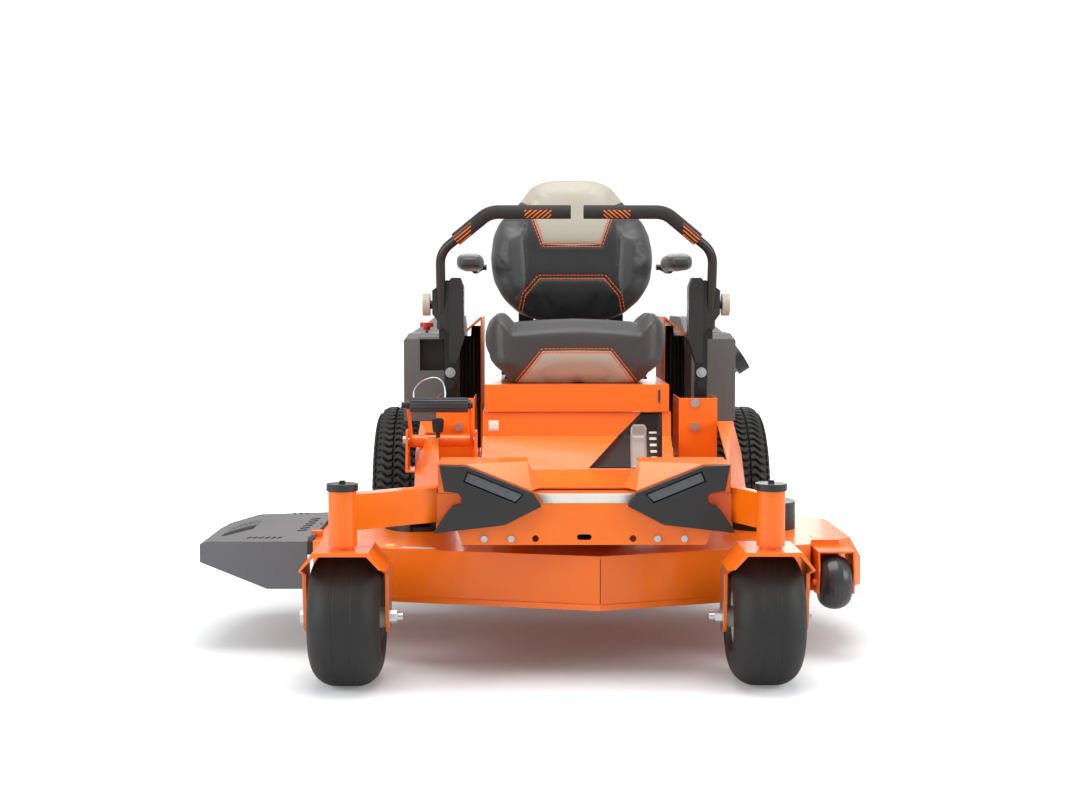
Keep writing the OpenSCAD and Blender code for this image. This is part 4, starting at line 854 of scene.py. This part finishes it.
def smooth_path(knots, count=48):
    """A smooth curve through knots: a Catmull-Rom spline, sampled evenly in its parameter."""
    k = np.asarray(knots, float)
    k = np.vstack([2 * k[0] - k[1], k, 2 * k[-1] - k[-2]])
    t = np.linspace(0, len(k) - 3 - 1e-9, count)
    i = t.astype(int)
    f = (t - i)[:, None]
    a, b, c, e = k[i], k[i + 1], k[i + 2], k[i + 3]
    return 0.5 * (2 * b + (c - a) * f + (2 * a - 5 * b + 4 * c - e) * f ** 2
                  + (3 * b - a - 3 * c + e) * f ** 3)


for side, sign in (("right", -1), ("left", 1)):
    points = pad_grid((sign * 260, -332, 875), (32, 146, 19), 0.42, 0.5, 40, 96)
    points[..., 2] += 3 * np.cos((points[..., 1] + 332) / 146 * math.pi / 2)
    pad = new_piece(side + "_armrest_pad", grid_mesh(side + "_armrest_pad", points, close_cols=True),
                    side + "_armrest", "vinyl", arm_vinyl)
    plump(pad, 2.5, voxel_mm=4.0)
    finish_pad(pad)
    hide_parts(side + "_armrest")
    arm = tube_mesh(side + "_armrest_tube", smooth_path([
        (sign * 224, -150, 868), (sign * 236, -150, 868), (sign * 246, -158, 862), (sign * 250, -190, 858),
        (sign * 252, -260, 858)]), 7.5)
    new_piece(side + "_armrest_tube", arm, side + "_armrest", "black_paint", black_powder_coat)

# %% [markdown]
# ## Grips with slanted stripes
# Four groups of orange dashes are printed on the foam. They are a pattern on Object coordinates:
# a slanted count across the bar gives the dashes, and distance from the centreline the groups.

# %% Stripes on the grips


def cover_colour(material, mask, shade):
    """Lays a shade over a material's base colour where mask is 1."""
    tree = material.node_tree
    shader = next(n for n in tree.nodes if n.type == "BSDF_PRINCIPLED")
    below = shader.inputs["Base Color"].links[0].from_socket
    over = add(tree, "ShaderNodeMix", {"data_type": "RGBA"}, Factor=mask, A=below, B=linear(shade))
    tree.links.new(over.outputs["Result"], shader.inputs["Base Color"])


def maths(tree, operation, a, b=0.0, clamp=False):
    """One Math node's result."""
    return add(tree, "ShaderNodeMath", {"operation": operation, "use_clamp": clamp}, i0=a, i1=b).outputs[0]


striped_grip = finish("foam_grip_with_dashes", "#1d1b19", "#282522", 0.75, patch=40, grain=1.2, relief=0.15)
tree = striped_grip.node_tree
spot = next(n for n in tree.nodes if n.type == "TEX_COORD")
parts = add(tree, "ShaderNodeSeparateXYZ", Vector=spot.outputs["Object"])
out = maths(tree, "ABSOLUTE", maths(tree, "SUBTRACT", parts.outputs["X"], float(AXLE[0])))
slant = maths(tree, "ADD", maths(tree, "MULTIPLY", out, 0.8), parts.outputs["Z"])
count = maths(tree, "MULTIPLY", slant, 105.0)
dash = maths(tree, "LESS_THAN", maths(tree, "FRACT", count), 0.36)
inner = maths(tree, "LESS_THAN", maths(tree, "ABSOLUTE", maths(tree, "SUBTRACT", out, 0.092)), 0.031)
outer = maths(tree, "LESS_THAN", maths(tree, "ABSOLUTE", maths(tree, "SUBTRACT", out, 0.272)), 0.024)
facing = add(tree, "ShaderNodeSeparateXYZ", Vector=spot.outputs["Normal"])
front = maths(tree, "MULTIPLY", maths(tree, "LESS_THAN", facing.outputs["Y"], -0.4),
              maths(tree, "LESS_THAN", facing.outputs["Z"], 0.25))
groups = maths(tree, "ADD", inner, outer, True)
cover_colour(striped_grip, maths(tree, "MULTIPLY", maths(tree, "MULTIPLY", groups, dash), front), "#e8741c")
for side in ("right", "left"):
    dress(nodes[side + "_grip"], striped_grip)

# %% [markdown]
# ## Lift pedal
# The foot rests on a roller with lengthwise ribs; its arms are orange. A wire bail stands over it,
# and beside it sit the rubber bumper that stops the deck and the two small blank labels.

# %% Pedal, bail and bumper
second_finish(round_pieces["lift_pedal"], orange_powder_coat,
              lambda x, y, z: np.hypot(y + 900, z - 555) > 16.5)
pedal_body = body_of["lift_pedal"]


def ribbed_roller(x_low, x_high, y, z, radius, ribs, depth):
    """A roller along X whose radius follows a rounded square wave of so many ribs."""
    a = np.linspace(0, 2 * math.pi, ribs * 12, endpoint=False)
    wave = radius - depth * (0.5 + 0.5 * np.tanh(3 * np.cos(ribs * a)))
    x = np.array([x_low, x_low, x_low + 2, x_high - 2, x_high, x_high])
    k = np.array([0.0, 0.9, 1.0, 1.0, 0.9, 0.0])[:, None]
    return np.stack([np.broadcast_to(x[:, None], (6, len(a))), y + k * wave * np.cos(a),
                     z + k * wave * np.sin(a)], -1)


mesh = grid_mesh("pedal_roller", ribbed_roller(-373, -246, -900, 555, 16.6, 14, 2.2), close_cols=True)
pedal_rubber = finish("ribbed_rubber_pad", "#2c2e30", "#3c3f41", 0.45, patch=30, grain=1.2, relief=0.08)
new_piece("pedal_roller", mesh, pedal_body, "black_paint", pedal_rubber)
bail = tube_mesh("pedal_bail", smooth_path([
    (-366, -895, 566), (-364, -890, 588), (-348, -886, 606), (-322, -884, 614), (-304, -886, 606),
    (-297, -890, 586), (-297, -895, 566)]), 1.6, sides=10)
new_piece("pedal_bail", bail, pedal_body, "bare_steel", zinc_plate)


def turned(name, profile, base_mm, sides=40):
    """Turns a (radius, height) profile round a vertical axis through base."""
    a = np.linspace(0, 2 * math.pi, sides, endpoint=False)
    r, h = np.asarray(profile, float).T
    points = np.stack([base_mm[0] + r[:, None] * np.cos(a), base_mm[1] + r[:, None] * np.sin(a),
                       base_mm[2] + h[:, None] + 0 * a], -1)
    return grid_mesh(name, points, close_cols=True)


bumper = turned("deck_stop_bumper", [
    (0, 0), (5, 0), (5, 10), (11, 12), (12.5, 22), (13.5, 36), (12, 42), (7, 44), (0, 44)], (-316, -838, 478))
new_piece("deck_stop_bumper", bumper, body_of["foot_pan"], "black_plastic", tyre_rubber)

# %% [markdown]
# ## Films and labels without words
# The seat panel carries a dark slanted film with a sight strip for the fuel and a ladder of level
# marks; the nose carries a pale badge strip. All are blank thin films that follow the folded
# panel: for a height z, the fold's profile gives y.

# %% Films on the folded panel


def thicken(piece, name, thickness_mm):
    """Gives an open sheet its thickness, half to each side."""
    wall = piece.modifiers.new(name, "SOLIDIFY")
    wall.thickness, wall.offset = thickness_mm / 1000, 0.0


FILM_MM = 0.3


def panel_film(name, left, right, low, high, material, lift=0.5, rows=20, cols=6):
    """A film on the seat box's folded front: edges left(z) and right(z), y from the fold's profile."""
    z = np.linspace(low, high, rows)[:, None] + np.zeros((1, cols))
    t = np.linspace(0, 1, cols)[None, :]
    x = left(z) * (1 - t) + right(z) * t
    y = np.interp(z, [396, 463, 520], [-745, -640, -632]) - lift
    mesh = grid_mesh(name, np.stack([x, y, z + lift * 0.5], -1))
    piece = new_piece(name, mesh, "chassis", "black_plastic", material)
    thicken(piece, "film_thickness", FILM_MM)
    return piece


panel_film("panel_dark_film", lambda z: np.interp(z, [398, 461, 518], [24, 95, 152]),
           lambda z: np.interp(z, [398, 461, 518], [193, 201, 201]), 398, 518, dark_decal_and_shadow_film)
panel_film("panel_sight_strip", lambda z: np.interp(z, [398, 482, 490], [121, 127, 133]),
           lambda z: np.interp(z, [398, 482, 490], [159, 165, 159]), 398, 490, sight_glass, lift=1.4)
for number, height in enumerate((468, 455, 442, 429, 416)):
    panel_film("panel_mark_%d" % number, lambda z: 170 + 0 * z, lambda z: 188 + 0 * z - number,
               height, height + 5, pale_film, lift=1.0, rows=3, cols=2)
panel_film("panel_pale_label", lambda z: -208 + 0 * z, lambda z: -184 + 0 * z, 474, 500, pale_film,
           rows=4, cols=2)


def laid_label(name, target, corners_xy_or_xz, downwards, material, lift=0.4, n=8):
    """A film over four corners: a ray from the front, or from above, finds the surface under each point."""
    surface = surface_of(target)
    c = np.asarray(corners_xy_or_xz, float)
    u, v = np.meshgrid(np.linspace(0, 1, n), np.linspace(0, 1, n), indexing="ij")
    u, v = u[..., None], v[..., None]
    flat = (c[0] * (1 - u) + c[1] * u) * (1 - v) + (c[3] * (1 - u) + c[2] * u) * v
    points = np.zeros((n, n, 3))
    way = Vector((0, 0, -1)) if downwards else Vector((0, 1, 0))
    for i in range(n):
        for j in range(n):
            a, b = flat[i, j]
            start = (a, b, 3000) if downwards else (a, -3000, b)
            hit = surface.ray_cast(Vector(metres(start)), way)[0]
            if hit is None:
                print(name, "missed", target.name)
                return None
            points[i, j] = millimetres(np.array(hit - way * lift / 1000))
    piece = new_piece(name, grid_mesh(name, points), target_body[target.name], "black_plastic", material)
    thicken(piece, "film_thickness", FILM_MM)
    return piece


target_body = {p.name: body_of[n] for n, p in round_pieces.items()}
deck_piece, cowl_piece, chute_piece = (
    round_pieces[n] for n in ("deck_shell", "front_cowl", "discharge_chute"))
laid_label("nose_badge", cowl_piece, [(-97, 390), (104, 390), (92, 370), (-85, 370)], False, pale_film)
laid_label("deck_yellow_label", deck_piece, [(520, -850), (546, -850), (546, -822), (520, -822)],
           True, yellow_film)
laid_label("deck_yellow_label_right", deck_piece, [(-424, -962), (-404, -962), (-404, -930), (-424, -930)],
           True, yellow_film)
laid_label("deck_pale_label", deck_piece, [(-386, -985), (-310, -1002), (-310, -984), (-386, -967)],
           True, pale_film)
# Painted shadow: a dark film strip down the deck's nose stands in for the shade inside the seam's gap, which
# is not cut as a groove.
laid_label("deck_nose_painted_seam_shadow", deck_piece, [(34.2, 247), (35.8, 247), (35.8, 154), (34.2, 154)],
           False, dark_decal_and_shadow_film, lift=0.2)

# %% [markdown]
# ## Bolts and liners
# Two plated bolts clamp each lap bar to its lever. Between the seat box and each fender hangs a
# black moulded liner with shallow upright flutes, which hides the drive from the rider.

# %% Bolt heads and inner liners


def bolt_head(name, x, z, target, body, radius=9.0, height=5.5):
    """A washer and a six-sided head turned about Y: r(a) = R cos(30) / cos(a mod 60 - 30)."""
    hit = surface_of(target).ray_cast(Vector(metres((x, -3000, z))), Vector((0, 1, 0)))[0]
    if hit is None:
        print(name, "found nothing behind it")
        return
    y = millimetres(np.array(hit))[1]
    a = np.linspace(0, 2 * math.pi, 48, endpoint=False)
    six = radius * math.cos(math.pi / 6) / np.cos(np.mod(a, math.pi / 3) - math.pi / 6)
    washer = np.full(48, radius * 1.35)
    rings = [(0 * a, 0.3), (washer, 0.3), (washer, -1.2), (six, -1.2), (six, -height + 0.8),
             (six * 0.9, -height), (0 * a, -height)]
    points = np.stack([np.stack([x + r * np.cos(a), y + h + 0 * a, z + r * np.sin(a)], -1) for r, h in rings])
    new_piece(name, grid_mesh(name, points, close_cols=True), body, "bare_steel", zinc_plate)


for side, sign in (("right", -1), ("left", 1)):
    lap_bar = side + "_lap_bar"
    for level, height in (("upper", 610), ("lower", 582)):
        bolt_head(side + "_bar_bolt_" + level, sign * 301, height, nodes[lap_bar], body_of[lap_bar])
    u, v = np.meshgrid(np.linspace(238, 290, 40), np.linspace(400, 690, 12))
    flutes = -262 + 2.5 * np.cos(u / 52 * 10 * math.pi)
    liner = np.stack([sign * u, flutes, v + 26 * (u < 262) * (v > 680)], -1)
    piece = new_piece(side + "_drive_liner", grid_mesh(side + "_drive_liner", liner), "chassis",
                      "black_plastic", black_moulding_and_slot_shade)
    thicken(piece, "liner_wall", 2.5)

# %% [markdown]
# ## Ribs on the chute
# The deflector is stiffened by rows of short raised ribs. Each is a low rod laid on the top, found by a ray
# from above, in a fan near the tip and short rows along the edges. The ribs are finished in the black
# moulding, darker than the grey chute they are part of, as painted shade of the slots between them.

# %% Chute ribs


def top_ribs(name, target, starts_xy, ends_xy, radius=2.2):
    """Low rods between pairs of points on an upward face, finished black as painted shade of the slots."""
    surface = surface_of(target)
    ends = []
    for pairs in (starts_xy, ends_xy):
        heights = [surface.ray_cast(Vector(metres((x, y, 3000))), Vector((0, 0, -1)))[0] for x, y in pairs]
        ends.append([millimetres(np.array(h)) for h in heights])
    # The black finish here is painted shade of the chute's slots, not a separate black part.
    piece = new_piece(name, rods(name, ends[0], ends[1], radius), target_body[target.name], "chute_plastic",
                      black_moulding_and_slot_shade)
    print(name, len(starts_xy), "ribs")
    return piece


t = np.linspace(0, 1, 14)
fan_front = np.stack([-806 + 46 * t, -800 + 110 * t], 1)
fan_back = fan_front + np.stack([0 * t, 90 + 170 * t * (1.25 - t)], 1)
top_ribs("chute_fan_ribs", chute_piece, fan_front, fan_back)
t = np.linspace(0, 1, 6)
rows_from = np.concatenate([np.stack([-744 + 68 * t, -836 + 0 * t], 1),
                            np.stack([-744 + 74 * t, -424 + 0 * t], 1),
                            np.stack([-648 + 6 * t, -724 + 188 * t], 1)])
rows_to = rows_from + np.repeat([[6, 18], [6, -18], [20, 14]], 6, axis=0)
top_ribs("chute_row_ribs", chute_piece, rows_from, rows_to)
